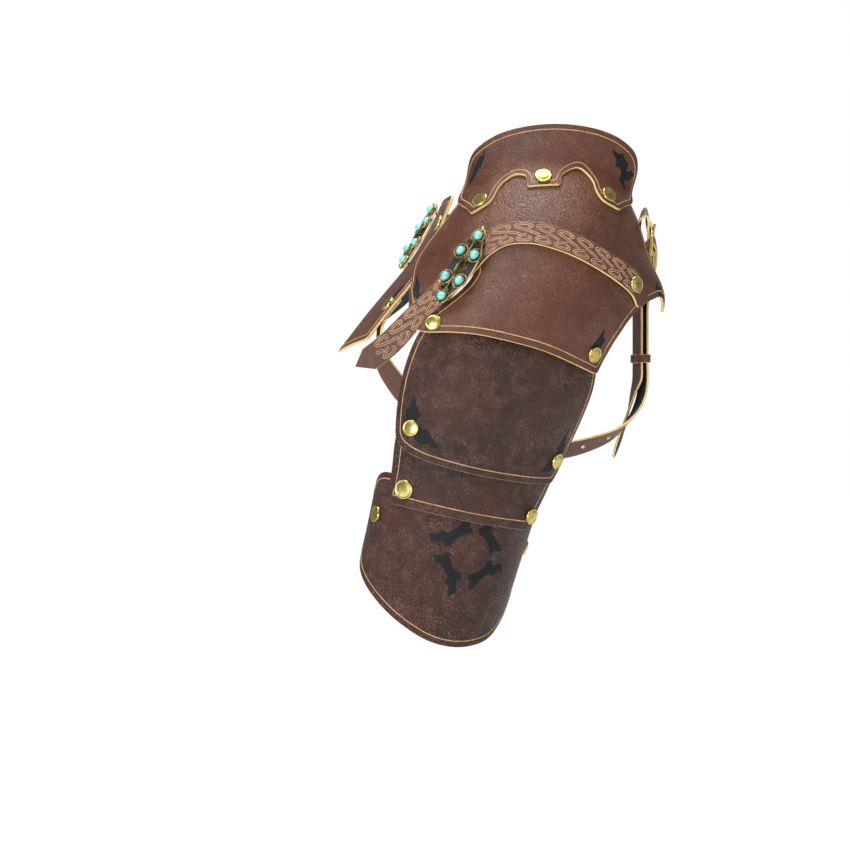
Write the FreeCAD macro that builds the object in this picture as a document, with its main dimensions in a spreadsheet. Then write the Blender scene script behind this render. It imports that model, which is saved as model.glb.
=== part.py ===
import FreeCAD, Part
import math
import os

# Shoulder armour of leather, built in millimetres.
# x runs to the wearer's back, y to the wearer's right, z up, origin on top of the shoulder.
# Every leather piece is a flat pattern (u along, v across) laid on a curved surface.

V = FreeCAD.Vector
V2 = FreeCAD.Base.Vector2d
doc = FreeCAD.newDocument("shoulder_armour")

SIZES = [
    ("leather", 2.4, "plate leather"),
    ("strap_leather", 2.0, "strap leather"),
    ("strap_width", 20.0, "strap width"),
    ("rivet_radius", 7.0, "rivet head radius"),
    ("wide_rivet_radius", 8.3, "head radius of the widest rivet"),
    ("rivet_height", 2.8, "rivet head height"),
    ("post_radius", 2.0, "rivet post radius"),
    ("back_radius", 5.0, "rivet back disc radius"),
    ("back_height", 1.2, "rivet back disc height"),
    ("swing_hole", 2.9, "hole radius in a swinging lame"),
    ("stone_radius", 3.6, "stone radius"),
    ("setting_radius", 4.4, "stone setting radius"),
    ("setting_height", 1.6, "stone setting height"),
    ("wire_radius", 0.9, "clasp wire radius"),
    ("lobe_radius", 6.2, "clasp loop radius"),
    ("bar_radius", 1.5, "buckle bar radius"),
    ("buckle_reach", 20.0, "heel bar to tip bar"),
    ("buckle_width", 26.0, "between side bars"),
    ("bar_clearance", 0.08, "turning clearance on the heel bar"),
    ("prong_radius", 1.2, "prong radius"),
    ("prong_ring", 2.7, "prong ring outer radius"),
    ("prong_ring_width", 3.4, "prong ring width"),
    ("chape_length", 20.0, "chape length behind the heel bar"),
    ("chape_slot", 5.0, "slot for the prong"),
    ("keeper_width", 7.0, "keeper width"),
    ("keeper_leather", 1.6, "keeper leather"),
    ("hole_radius", 1.7, "punched strap hole"),
]

sheet = doc.addObject("Spreadsheet::Sheet", "sizes")
for number, (word, value, note) in enumerate(SIZES):
    line = number + 1
    sheet.set("A%d" % line, word)
    sheet.set("B%d" % line, str(value))
    sheet.set("C%d" % line, note)
    sheet.setAlias("B%d" % line, word)
size = {word: value for word, value, note in SIZES}
for number, (word, head) in enumerate((("dome_radius", "rivet_radius"), ("wide_dome_radius", "wide_rivet_radius"))):
    line = len(SIZES) + 1 + number
    sheet.set("A%d" % line, word)
    sheet.set("B%d" % line, "=(%s^2 + rivet_height^2) / (2 * rivet_height)" % head)
    sheet.setAlias("B%d" % line, word)
    size[word] = (size[head] ** 2 + size["rivet_height"] ** 2) / (2 * size["rivet_height"])
doc.recompute()


# Row tables: v, centre x, y, z, half width, half depth, droop, slope, turn in degrees.
CAP_ROWS = [
    (0, 2, 8, 24, 73, 52, 32, 0, 0),
    (35, -1.5, 8, -2.4, 86.5, 73, 32, 0, 0),
    (70, -7, 8, -32, 100, 91.5, 30, 0, 0),
    (105, -6, 6, -65, 109.5, 102, 23, -0.04, 2),
    (140, -21, -11, -99, 107.5, 94, 9, -0.13, 6),
    (165, -40, -28, -124, 101.5, 81.5, 1, -0.18, 10),
    (185, -45.5, -28, -143, 104, 83, 0, -0.2, 10),
]
COLLAR_ROWS = [
    (28, -0.5, 8, 8, 84.5, 67, 32, 0, 0),
    (42, 2.5, 8, 20.5, 78, 58.5, 31, 0, 0),
    (52, 5.5, 8, 29.5, 78, 55.5, 28, 0, 0),
    (66, 8.5, 8, 43, 81, 56, 24, 0, 0),
    (82, 10, 8, 58.5, 84, 58.5, 20, 0, 0),
    (96, 12, 8, 72, 88, 61, 18, 0, 0),
]
UPPER_ROWS = [
    (0, -32, -26, -100, 85, 62, 0, -0.2, 10),
    (22, -40, -28, -122, 92.5, 73.5, 0, -0.2, 10),
    (43, -46.5, -28, -143, 95.5, 75.5, 0, -0.2, 10),
    (110, -67.6, -27, -208, 86.5, 69.5, 0, -0.22, 10),
    (140, -75, -26, -238, 86, 69, 0, -0.22, 10),
]
MIDDLE_ROWS = [
    (0, -64.5, -27, -192, 82, 65, 0, -0.22, 10),
    (16, -67.6, -27, -208, 81, 64, 0, -0.22, 10),
    (70, -75, -26, -262, 72, 58.5, 0, -0.22, 10),
    (92, -80.7, -25, -284, 71, 58, 0, -0.22, 10),
]
CUFF_ROWS = [
    (0, -67, -26, -232, 67.5, 55, 0, -0.23, 10),
    (30, -74.8, -25.5, -261.5, 65.5, 53.3, 0, -0.23, 10),
    (70, -85, -25, -300, 63.3, 52, 0, -0.24, 10),
    (130, -100.5, -24, -358, 61.7, 50, 0, -0.24, 10),
    (150, -106, -24, -377, 61.7, 50, 0, -0.24, 10),
]
# Chest plate profile: distance down the front, x, z at the middle of the chest.
CHEST_ROWS = [
    (-14, -80, 16),
    (-2, -82.4, 4.4),
    (25, -93.6, -20),
    (59, -110.5, -49),
    (94.5, -133, -76.5),
    (115, -146, -92),
    (161, -174.5, -128.6),
    (189, -192, -150),
]

# Outlines: pattern points with a corner radius.
CAP_OUTLINE = [
    (-98, 14, 8), (-40, 3, 30), (60, -4, 40), (108, 12, 8), (124, 45, 30), (124, 84, 25), (142, 116, 2),
    (122, 105, 14), (90, 121, 14), (79, 142, 16), (92, 164, 8), (85, 176.5, 5), (57, 172.5, 20),
    (24, 166.5, 20), (-26, 163.3, 20), (-50, 164.8, 10), (-73, 169, 5), (-84, 168, 2),
    (-75.5, 150, 10), (-66, 136.5, 8), (-56.5, 121, 8), (-52, 107, 5), (-57, 100.5, 4),
    (-64, 106, 5), (-76, 123, 8), (-89, 136, 6), (-104, 148.5, 3), (-113, 134, 8),
    (-131, 106, 25), (-136, 68, 25), (-118, 36, 20),
]
COLLAR_OUTLINE = [
    (-64, 0, 2.5), (-75, 9, 5), (-99, 24, 8), (-112, 48, 15), (-104, 66, 15), (-60, 75.5, 25),
    (0, 79, 30), (60, 75, 25), (105, 66, 15), (124, 50, 12), (110, 28, 12), (86, 15, 6),
    (78, 8.5, 3), (59, 11.5, 6), (52, 20, 6), (50, 36, 9), (33, 45.5, 9), (17, 35, 6),
    (15, 21.5, 3), (-16, 19.5, 3), (-19.5, 33, 4), (-32, 37, 8), (-45, 28, 7), (-48, 8, 6),
]
UPPER_OUTLINE = [
    (-70, 13, 8), (-30, 6, 15), (76, 3, 8), (88, 20, 10), (91, 40, 20), (91, 60, 20), (99, 92, 15),
    (99, 108, 10), (87, 125.5, 6), (56, 128.7, 15), (10, 131, 25), (-24, 130, 20), (-50, 127.5, 15),
    (-72, 119, 12), (-77, 100, 15), (-79, 76, 25), (-77, 30, 12),
]
MIDDLE_OUTLINE = [
    (-62, 1, 6), (78, 1, 8), (87, 16, 10), (85, 32, 15), (73, 58, 12), (68.5, 72.5, 5),
    (13, 75.2, 25), (-18, 75.2, 25), (-48, 74.6, 10), (-71, 74.6, 5), (-76, 69, 3), (-70, 48, 15),
    (-66, 26, 12),
]
CUFF_OUTLINE = [
    (-124, 33, 8), (-106, 19, 10), (-88, 12, 10), (-20, 11, 20), (122, 16, 6), (120, 62, 15), (104, 86, 20),
    (76, 111, 15), (60, 127, 14), (28, 138.5, 18), (-2, 139, 18), (-36, 126.5, 15), (-78, 105, 12),
    (-106, 90, 12), (-124, 68, 12),
]
CHEST_OUTLINE = [
    (10, 1, 8), (100, 1, 25), (150, 7, 25), (190, 44, 15), (192, 100, 15), (160, 140, 25),
    (100, 161, 30), (60, 158, 20), (12, 149, 4), (13, 100, 20), (12, 50, 20),
]


def hermite_row(rows, place):
    count = len(rows)
    low = 0
    while low < count - 2 and place > rows[low + 1][0]:
        low += 1
    a = rows[max(low - 1, 0)]
    b = rows[low]
    c = rows[low + 1]
    d = rows[min(low + 2, count - 1)]
    span = c[0] - b[0]
    s = (place - b[0]) / span
    out = []
    for k in range(1, len(b)):
        rise = (c[k] - b[k]) / span
        start = rise
        finish = rise
        if a[0] != b[0]:
            before = (b[k] - a[k]) / (b[0] - a[0])
            start = (rise * (b[0] - a[0]) + before * span) / (c[0] - a[0])
        if d[0] != c[0]:
            after = (d[k] - c[k]) / (d[0] - c[0])
            finish = (after * span + rise * (d[0] - c[0])) / (d[0] - b[0])
        out.append(
            (2 * s ** 3 - 3 * s ** 2 + 1) * b[k]
            + (s ** 3 - 2 * s ** 2 + s) * span * start
            + (3 * s ** 2 - 2 * s ** 3) * c[k]
            + (s ** 3 - s ** 2) * span * finish
        )
    return out


def wrapped(rows, reference):
    def point(u, v):
        cx, cy, cz, half_width, half_depth, droop, slope, turn = hermite_row(rows, v)
        angle = u / reference
        across = half_width * math.sin(angle)
        outward = half_depth * math.cos(angle)
        q = math.radians(turn)
        x = cx + across * math.cos(q) + outward * math.sin(q)
        y = cy - outward * math.cos(q) + across * math.sin(q)
        z = cz - droop * (1 - math.cos(angle)) + slope * (x - cx)
        return (x, y, z)
    return point


def normal_of(point, u, v, side=1.0):
    e = 0.05
    a = point(u + e, v)
    b = point(u - e, v)
    c = point(u, v + e)
    d = point(u, v - e)
    p = [a[i] - b[i] for i in range(3)]
    q = [c[i] - d[i] for i in range(3)]
    n = (q[1] * p[2] - q[2] * p[1], q[2] * p[0] - q[0] * p[2], q[0] * p[1] - q[1] * p[0])
    length = math.sqrt(sum(k * k for k in n))
    return [side * k / length for k in n]


def shifted(point, distance, side=1.0):
    def moved(u, v):
        p = point(u, v)
        n = normal_of(point, u, v, side)
        return tuple(p[i] + distance * n[i] for i in range(3))
    return moved


def smooth(x):
    x = max(0.0, min(1.0, x))
    return x * x * (3 - 2 * x)


cap_point = wrapped(CAP_ROWS, 100.0)
cap_over = shifted(cap_point, 2.6)
collar_stand = wrapped(COLLAR_ROWS, 100.0)


def collar_point(u, v):
    k = smooth((v - 32) / 26.0)
    low = cap_over(u, 50 - v) if k < 1 else (0, 0, 0)
    high = collar_stand(u, v) if k > 0 else (0, 0, 0)
    return tuple(low[i] * (1 - k) + high[i] * k for i in range(3))


upper_point = wrapped(UPPER_ROWS, 90.0)
middle_point = wrapped(MIDDLE_ROWS, 75.0)
cuff_point = wrapped(CUFF_ROWS, 65.0)


def chest_point(u, v):
    x, z = hermite_row(CHEST_ROWS, v)
    return (x + (8 + 12 * smooth(v / 100.0)) * ((u - 100) / 88.0) ** 2, u, z)


def unit(a):
    length = math.sqrt(sum(k * k for k in a))
    return tuple(k / length for k in a)


def cross(a, b):
    return (a[1] * b[2] - a[2] * b[1], a[2] * b[0] - a[0] * b[2], a[0] * b[1] - a[1] * b[0])


def ribbon_rows(stations):
    # Stations hold a centre point and the direction across the ribbon.
    rows = []
    run = 0.0
    for number, (centre, across) in enumerate(stations):
        if number:
            before = stations[number - 1][0]
            run += math.sqrt(sum((centre[i] - before[i]) ** 2 for i in range(3)))
        rows.append((run,) + tuple(centre) + unit(across))
    return rows


def ribbon_point(rows):
    def point(u, v):
        x, y, z, a, b, c = hermite_row(rows, u)
        length = math.sqrt(a * a + b * b + c * c)
        return (x + v * a / length, y + v * b / length, z + v * c / length)
    return point


def station(point, side, u, v, du, dv, height, tilt=0.0):
    # A ribbon station on a surface heading along (du, dv), lying height above the leather,
    # with its far edge tilted down by some degrees.
    n = normal_of(point, u, v, side)
    p = point(u, v)
    q = point(u + du * 0.1, v + dv * 0.1)
    along = unit([q[i] - p[i] for i in range(3)])
    across = unit(cross(n, along))
    t = math.radians(tilt)
    across = tuple(across[i] * math.cos(t) - n[i] * math.sin(t) for i in range(3))
    return (tuple(p[i] + height * n[i] for i in range(3)), across)


def knot_list(low, high, step):
    count = max(3, int(math.ceil((high - low) / step)))
    return [low + (high - low) * i / count for i in range(count + 1)]


def knot_terms(knots):
    full = [knots[0]] * 3 + knots + [knots[-1]] * 3
    places = []
    spreads = []
    for i in range(len(knots) + 2):
        t = full[i + 1:i + 4]
        places.append(sum(t) / 3.0)
        spreads.append((sum(q * q for q in t) - t[0] * t[1] - t[0] * t[2] - t[1] * t[2]) / 18.0)
    return places, spreads


def spline_surface(point, knots_u, knots_v):
    # Cubic surface whose parameters are the pattern coordinates.
    places_u, spreads_u = knot_terms(knots_u)
    places_v, spreads_v = knot_terms(knots_v)
    e = 0.5
    poles = []
    for u, ku in zip(places_u, spreads_u):
        line = []
        for v, kv in zip(places_v, spreads_v):
            p = point(u, v)
            a = point(u + e, v)
            b = point(u - e, v)
            c = point(u, v + e)
            d = point(u, v - e)
            line.append(V(*[
                p[i] - ku * (a[i] - 2 * p[i] + b[i]) / (e * e) - kv * (c[i] - 2 * p[i] + d[i]) / (e * e)
                for i in range(3)
            ]))
        poles.append(line)
    surface = Part.BSplineSurface()
    many_u = [4] + [1] * (len(knots_u) - 2) + [4]
    many_v = [4] + [1] * (len(knots_v) - 2) + [4]
    surface.buildFromPolesMultsKnots(poles, many_u, many_v, knots_u, knots_v, False, False, 3, 3)
    return surface


def toward(p, q, distance):
    length = math.hypot(q[0] - p[0], q[1] - p[1])
    k = min(distance, 0.48 * length) / length
    return (p[0] + (q[0] - p[0]) * k, p[1] + (q[1] - p[1]) * k)


def outline_edges(points, surface):
    count = len(points)
    bends = []
    for i in range(count):
        p = points[i]
        bends.append((toward(p, points[i - 1], p[2]), p, toward(p, points[(i + 1) % count], p[2])))
    edges = []
    for i in range(count):
        a, m, b = bends[i]
        curve = Part.Geom2d.BezierCurve2d()
        curve.setPoles([V2(a[0], a[1]), V2(m[0], m[1]), V2(b[0], b[1])])
        edges.append(curve.toShape(surface))
        d = bends[(i + 1) % count][0]
        pieces = max(1, int(math.ceil(math.hypot(d[0] - b[0], d[1] - b[1]) / 60.0)))
        for k in range(pieces):
            start = V2(b[0] + (d[0] - b[0]) * k / pieces, b[1] + (d[1] - b[1]) * k / pieces)
            end = V2(b[0] + (d[0] - b[0]) * (k + 1) / pieces, b[1] + (d[1] - b[1]) * (k + 1) / pieces)
            edges.append(Part.Geom2d.Line2dSegment(start, end).toShape(surface))
    return edges


def trimmed(surface, edges, inside):
    parts = surface.toShape().generalFuse(edges)[0]
    for face in parts.Faces:
        if face.isPartOfDomain(inside[0], inside[1]):
            return face
    raise RuntimeError("no face inside the outline")


def plate(point, outline, inside, thick, outer=0.0, side=1.0, step=8.0, knots_u=None, margin=5.0):
    us = [p[0] for p in outline]
    vs = [p[1] for p in outline]
    ku = knots_u or knot_list(min(us) - margin, max(us) + margin, step)
    kv = knot_list(min(vs) - margin, max(vs) + margin, step)
    top = spline_surface(shifted(point, outer, side) if outer else point, ku, kv)
    bottom = spline_surface(shifted(point, outer - thick, side), ku, kv)
    top_edges = outline_edges(outline, top)
    bottom_edges = outline_edges(outline, bottom)
    faces = [trimmed(top, top_edges, inside), trimmed(bottom, bottom_edges, inside)]
    for a, b in zip(top_edges, bottom_edges):
        faces.append(Part.makeRuledSurface(a, b))
    shell = Part.makeShell(faces)
    shell.sewShape()
    shell = shell if shell.ShapeType == "Shell" else shell.Shells[0]
    solid = Part.makeSolid(shell)
    if solid.Volume < 0:
        solid.reverse()
    return solid


def ribbon_knots(rows, margin):
    knots = [rows[0][0] - margin] if margin else []
    for a, b in zip(rows, rows[1:]):
        span = b[0] - a[0]
        count = 3 if span < 6 else max(1, int(math.ceil(span / 5.0)))
        for i in range(count):
            knots.append(a[0] + span * i / count)
    knots.append(rows[-1][0])
    if margin:
        knots.append(rows[-1][0] + margin)
    return knots


def ribbon(stations, outline, thick, side=-1.0):
    # A shaped piece laid along stations, cut to an outline.
    rows = ribbon_rows(stations)
    middle = 0.5 * (rows[0][0] + rows[-1][0])
    return plate(ribbon_point(rows), outline, (middle, 0.3), thick, thick / 2.0, side, 8.0,
                 ribbon_knots(rows, 1.0), 2.0)


def ruled_patch(line_a, line_b, knots):
    # A patch between two pole lines of cubic edges.
    patch = Part.BSplineSurface()
    many = [4] + [1] * (len(knots) - 2) + [4]
    poles = [[a, b] for a, b in zip(line_a, line_b)]
    patch.buildFromPolesMultsKnots(poles, many, [2, 2], knots, [0.0, 1.0], False, False, 3, 1)
    return patch.toShape()


def strap(stations, thick, end_tools=()):
    # A strap of full width along stations, whose ends the tools then shape.
    rows = ribbon_rows(stations)
    point = ribbon_point(rows)
    half = size["strap_width"] / 2
    knots_u = ribbon_knots(rows, 0)
    knots_v = [-half, -half / 3, half / 3, half]
    top = spline_surface(shifted(point, thick / 2.0, -1.0), knots_u, knots_v)
    bottom = spline_surface(shifted(point, -thick / 2.0, -1.0), knots_u, knots_v)
    a = top.getPoles()
    b = bottom.getPoles()
    faces = [
        top.toShape(),
        bottom.toShape(),
        ruled_patch([line[0] for line in a], [line[0] for line in b], knots_u),
        ruled_patch([line[-1] for line in a], [line[-1] for line in b], knots_u),
        ruled_patch(a[0], b[0], knots_v),
        ruled_patch(a[-1], b[-1], knots_v),
    ]
    shell = Part.makeShell(faces)
    shell.sewShape()
    shell = shell if shell.ShapeType == "Shell" else shell.Shells[0]
    solid = Part.makeSolid(shell)
    if solid.Volume < 0:
        solid.reverse()
    for tool in end_tools:
        solid = solid.cut(tool)
    return solid


def end_frame(stations, last):
    # Local x runs off the end of the strap, y across it.
    rows = ribbon_rows(stations)
    point = ribbon_point(rows)
    u = rows[-1][0] if last else rows[0][0]
    origin = V(*point(u, 0))
    across = V(*point(u, 1)) - origin
    x = origin - V(*point(u - 4 if last else u + 4, 0))
    z = x.cross(across)
    return FreeCAD.Placement(origin, FreeCAD.Rotation(x, z.cross(x), z, "XZY"))


def waste(frame, corners):
    # A prism over the corner points, through the strap.
    points = [frame.multVec(V(x, y, -4)) for x, y in corners]
    face = Part.Face(Part.makePolygon(points + points[:1]))
    return face.extrude(frame.Rotation.multVec(V(0, 0, 8)))


def rounded_end(stations, last, radius=5.0):
    frame = end_frame(stations, last)
    edge = size["strap_width"] / 2
    tools = []
    for hand in (-1, 1):
        y = hand * (edge - radius)
        block = waste(frame, [(-radius, y), (2, y), (2, hand * (edge + 2)), (-radius, hand * (edge + 2))])
        centre = frame.multVec(V(-radius, y, -5))
        tools.append(block.cut(Part.makeCylinder(radius, 10, centre, frame.Rotation.multVec(V(0, 0, 1)))))
    return tools


def pointed_end(stations, last, length=14.0):
    frame = end_frame(stations, last)
    edge = size["strap_width"] / 2
    tools = []
    for hand in (-1, 1):
        tools.append(waste(frame, [
            (-length, hand * edge), (-length, hand * (edge + 2)), (2, hand * (edge + 2)), (2, hand * 1.5),
            (-0.5, hand * 1.5), (-4, hand * 5.5),
        ]))
    return tools


def place_at(origin, out, along=None):
    z = V(*out)
    hint = V(*along) if along else (V(0, 0, 1) if abs(z.z) < 0.9 else V(1, 0, 0))
    x = hint - z * hint.dot(z)
    x.normalize()
    y = z.cross(x)
    return FreeCAD.Placement(V(*origin), FreeCAD.Rotation(x, y, z, "ZXY"))


def bound(kind, label, place, sizes_of):
    made = doc.addObject(kind, label)
    for name, words in sizes_of.items():
        made.setExpression(name, words)
    made.Placement = place
    return made


def fused(label, pieces):
    made = doc.addObject("Part::MultiFuse", label)
    made.Shapes = pieces
    return made


def at(place, x, y, z, out=(0, 0, 1), along=(1, 0, 0)):
    return place.multiply(place_at((x, y, z), out, along))


NODES = []


def keep(made, label):
    made.Label = label
    NODES.append(made)
    return made


def leather(label, shape, cutters):
    for cutter in cutters:
        shape = shape.cut(cutter)
    solids = shape.Solids
    shape = max(solids, key=lambda one: one.Volume)
    made = doc.addObject("Part::Feature", label)
    made.Shape = shape
    return keep(made, label)


def rivet(label, place, grip, curve):
    angle = math.degrees(math.asin((size[curve] - size["rivet_height"]) / size[curve]))
    dome = bound("Part::Sphere", label + "_dome", at(place, 0, 0, size["rivet_height"] - size[curve]), {
        "Radius": "sizes." + curve,
    })
    dome.Angle1 = angle
    dome.Angle2 = 90
    post = bound("Part::Cylinder", label + "_post", at(place, 0, 0, -grip - 0.3), {"Radius": "sizes.post_radius"})
    post.Height = grip + 0.8
    back = bound("Part::Cylinder", label + "_back", at(place, 0, 0, -grip - size["back_height"]), {
        "Radius": "sizes.back_radius",
        "Height": "sizes.back_height",
    })
    return fused(label, [dome, post, back])


def rivet_group(label, places, wide=()):
    # places: placement with z out of the leather, and the grip between head and back disc
    ones = []
    for i, (place, grip) in enumerate(places):
        curve = "wide_dome_radius" if i in wide else "dome_radius"
        ones.append(rivet("%s_%d" % (label, i + 1), place, grip, curve))
    made = doc.addObject("Part::Compound", label)
    made.Links = ones
    doc.recompute()
    return keep(made, label)


def on_surface(point, u, v, outer=0.0, side=1.0, flip=False):
    p = point(u, v)
    n = normal_of(point, u, v, side)
    origin = tuple(p[i] + outer * n[i] for i in range(3))
    return place_at(origin, [-k for k in n] if flip else n)


def through(place, radius, low, high):
    axis = place.Rotation.multVec(V(0, 0, 1))
    return Part.makeCylinder(radius, high - low, place.Base + axis * low, axis)


# Rivets of the cap and collar.
collar_grip = 2 * size["leather"] + 0.4
collar_rivets = rivet_group("collar_rivets", [
    (on_surface(collar_point, -60.5, 12.5, 0.0, -1.0), collar_grip),
    (on_surface(collar_point, -2, 30, 0.0, -1.0), collar_grip),
    (on_surface(collar_point, 66, 20.5, 0.0, -1.0), collar_grip),
])
# Pivot rivets: u, v, gap between the leathers, and reach from the head to the back disc.
CAP_PIVOTS = [(-70, 160, 4.3, 11.0), (73, 162, 8.7, 18.2)]
UPPER_PIVOTS = [(-59.4, 105.8, 3.1, 9.2), (85, 106.6, 3.4, 9.9)]
MIDDLE_PIVOTS = [(-56.5, 61, 4.6, 11.2), (65.7, 60.7, 3.7, 9.8)]


def pivot_places(point, spots):
    return [(on_surface(point, u, v), reach) for u, v, gap, reach in spots]


cap_pivot_rivets = rivet_group("cap_pivot_rivets", pivot_places(cap_point, CAP_PIVOTS))
upper_pivot_rivets = rivet_group("upper_pivot_rivets", pivot_places(upper_point, UPPER_PIVOTS))
middle_pivot_rivets = rivet_group("middle_pivot_rivets", pivot_places(middle_point, MIDDLE_PIVOTS), (0,))


def hinge_points(point, spots):
    found = []
    for u, v, gap, reach in spots:
        p = point(u, v)
        n = normal_of(point, u, v)
        depth = 1.5 * size["leather"] + gap
        found.append(tuple(p[i] - depth * n[i] for i in range(3)))
    return found


for label, point, spots in (
    ("upper_lame_pivot", cap_point, CAP_PIVOTS),
    ("middle_lame_pivot", upper_point, UPPER_PIVOTS),
    ("lower_cuff_pivot", middle_point, MIDDLE_PIVOTS),
):
    front, rear = hinge_points(point, spots)
    print(label, [round(k, 3) for k in front], [round(k, 3) for k in rear])


def swing_holes(point, spots):
    return [through(on_surface(point, u, v), size["swing_hole"], -30, 5) for u, v, gap, reach in spots]


# Knotwork strip: over the shoulder on the cap, through the notch at the front, then hanging free.
strap_thick = size["strap_leather"]
strip_path = [
    (90, 119, -16, -10, 0.5), (76, 108.5, -26, -11, 0.5), (64, 103.2, -28, -13, 0.45),
    (51, 97.5, -30, -15, 0.4), (18, 82.5, -30, -12, 0.2), (-8, 76, -26, -2, 0.2), (-30, 78, -20, 9, 0.2),
    (-48, 89, -13, 15, 0.2), (-59, 102.5, -11, 17, 0.2),
]
strip_stations = []
for u, v, du, dv, gap in strip_path:
    strip_stations.append(station(cap_point, 1.0, u, v, du, dv, gap + strap_thick / 2))
strip_stations.append(station(cap_point, 1.0, -69.5, 118.5, -10, 15, 1.6, 14))
strip_stations.append(station(cap_point, 1.0, -78, 134.5, -9.5, 12, 1.2, 26))
strip_stations.append(station(cap_point, 1.0, -87.5, 147, -10, 11, -0.6, 26))
strip_stations.append(((-128.5, -77, -127.5), (0.6, 0.05, -0.8)))
strip_stations.append(((-155.1, -66.8, -146.7), (0.55, 0.1, -0.83)))
strip_rows = ribbon_rows(strip_stations)
strip_tools = rounded_end(strip_stations, False, 8.0)
strip_tools.append(waste(end_frame(strip_stations, True), [
    (-16, -10), (-1.5, -1.5), (-15, 10), (-15, 12), (3, 12), (3, -12), (-16, -12),
]))
strip_point = ribbon_point(strip_rows)
through_strip = size["leather"] + strap_thick + 0.6
strip_rivets = rivet_group("strip_rivets", [
    (on_surface(strip_point, strip_rows[1][0], 0, strap_thick / 2, -1.0), through_strip),
])

# Chest plate, held to the cap by a bridge on the inside.
under_chest = -size["leather"] - 0.4 - strap_thick / 2
chest_rivets = rivet_group("chest_rivets", [
    (on_surface(chest_point, 22, 27, 0, -1.0), through_strip),
    (on_surface(chest_point, 24, 112, 0, -1.0), through_strip),
    (on_surface(chest_point, 176, 60, 0, -1.0), through_strip),
])
bridge_stations = [
    station(cap_point, 1.0, -106, 44, -10, 0, under_chest),
    station(cap_point, 1.0, -116, 44, -10, 0, under_chest),
    station(cap_point, 1.0, -127, 43, -10, -1, under_chest),
    ((-80.0, -1, -27.0), (-0.5, -0.2, -0.84)),
    station(chest_point, -1.0, 14, 28, 10, -1, under_chest),
    station(chest_point, -1.0, 22, 27, 10, -1, under_chest),
    station(chest_point, -1.0, 33, 26, 10, -1, under_chest),
]
inside_rivet_spot = station(cap_point, 1.0, -113, 44, -10, 0, -size["leather"] - 0.4 - strap_thick)[0]
inside_normal = normal_of(cap_point, -113, 44)
bridge_rivets = rivet_group("bridge_rivets", [
    (place_at(inside_rivet_spot, [-k for k in inside_normal]), strap_thick + 0.8),
])

# Buckles. Local x runs from the heel bar to the tip bar, y along the bars, z outward.
half_bar = size["buckle_width"] / 2
over_bar = size["bar_radius"] + size["bar_clearance"]
over_chape = over_bar + strap_thick
prong_rise = 8.1


def bar(label, place, start, direction, length_words):
    return bound("Part::Cylinder", label, at(place, start[0], start[1], start[2], direction, (0.3, 0.2, 0.1)), {
        "Radius": "sizes.bar_radius",
        "Height": length_words,
    })


def buckle_frame(label, place, reach_words, reach):
    pieces = [
        bar(label + "_heel", place, (0, -half_bar, 0), (0, 1, 0), "sizes.buckle_width"),
        bar(label + "_tip", place, (reach, -half_bar, 0), (0, 1, 0), "sizes.buckle_width"),
        bar(label + "_left", place, (0, -half_bar, 0), (1, 0, 0), reach_words),
        bar(label + "_right", place, (0, half_bar, 0), (1, 0, 0), reach_words),
    ]
    for number, (x, y) in enumerate(((0, -half_bar), (0, half_bar), (reach, -half_bar), (reach, half_bar))):
        pieces.append(bound("Part::Sphere", "%s_corner_%d" % (label, number + 1), at(place, x, y, 0), {
            "Radius": "sizes.bar_radius",
        }))
    made = fused(label, pieces)
    doc.recompute()
    return keep(made, label)


def buckle_prong(label, place):
    ring_half = size["prong_ring_width"] / 2
    ring = bound("Part::Cylinder", label + "_ring", at(place, 0, -ring_half, 0, (0, 1, 0)), {
        "Radius": "sizes.prong_ring",
        "Height": "sizes.prong_ring_width",
    })
    bore = bound("Part::Cylinder", label + "_bore", at(place, 0, -ring_half - 1, 0, (0, 1, 0)), {
        "Radius": "sizes.bar_radius + sizes.bar_clearance",
        "Height": "sizes.prong_ring_width + 2",
    })
    hollow = doc.addObject("Part::Cut", label + "_eye")
    hollow.Base = ring
    hollow.Tool = bore
    rise = math.radians(prong_rise)
    shank = bound("Part::Cylinder", label + "_shank",
                  at(place, 2.15, 0, 0.3, (math.cos(rise), 0, math.sin(rise)), (0, 1, 0)),
                  {"Radius": "sizes.prong_radius"})
    shank.Height = 20.0
    tip = bound("Part::Sphere", label + "_point",
                at(place, 2.15 + 20 * math.cos(rise), 0, 0.3 + 20 * math.sin(rise)),
                {"Radius": "sizes.prong_radius"})
    made = fused(label, [hollow, shank, tip])
    doc.recompute()
    return keep(made, label)


def prong_space(place, widest):
    # The room a prong needs while it swings from rest to the widest angle.
    tools = []
    for angle in (0.0, widest / 2, widest):
        rise = math.radians(prong_rise + angle)
        lift = math.radians(angle)
        start = V(2.15 * math.cos(lift), 0, 0.3 + 2.15 * math.sin(lift))
        along = V(math.cos(rise), 0, math.sin(rise))
        axis = place.Rotation.multVec(along)
        tools.append(Part.makeCylinder(size["prong_radius"] + 0.4, 22, place.multVec(start), axis))
    return tools


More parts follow.
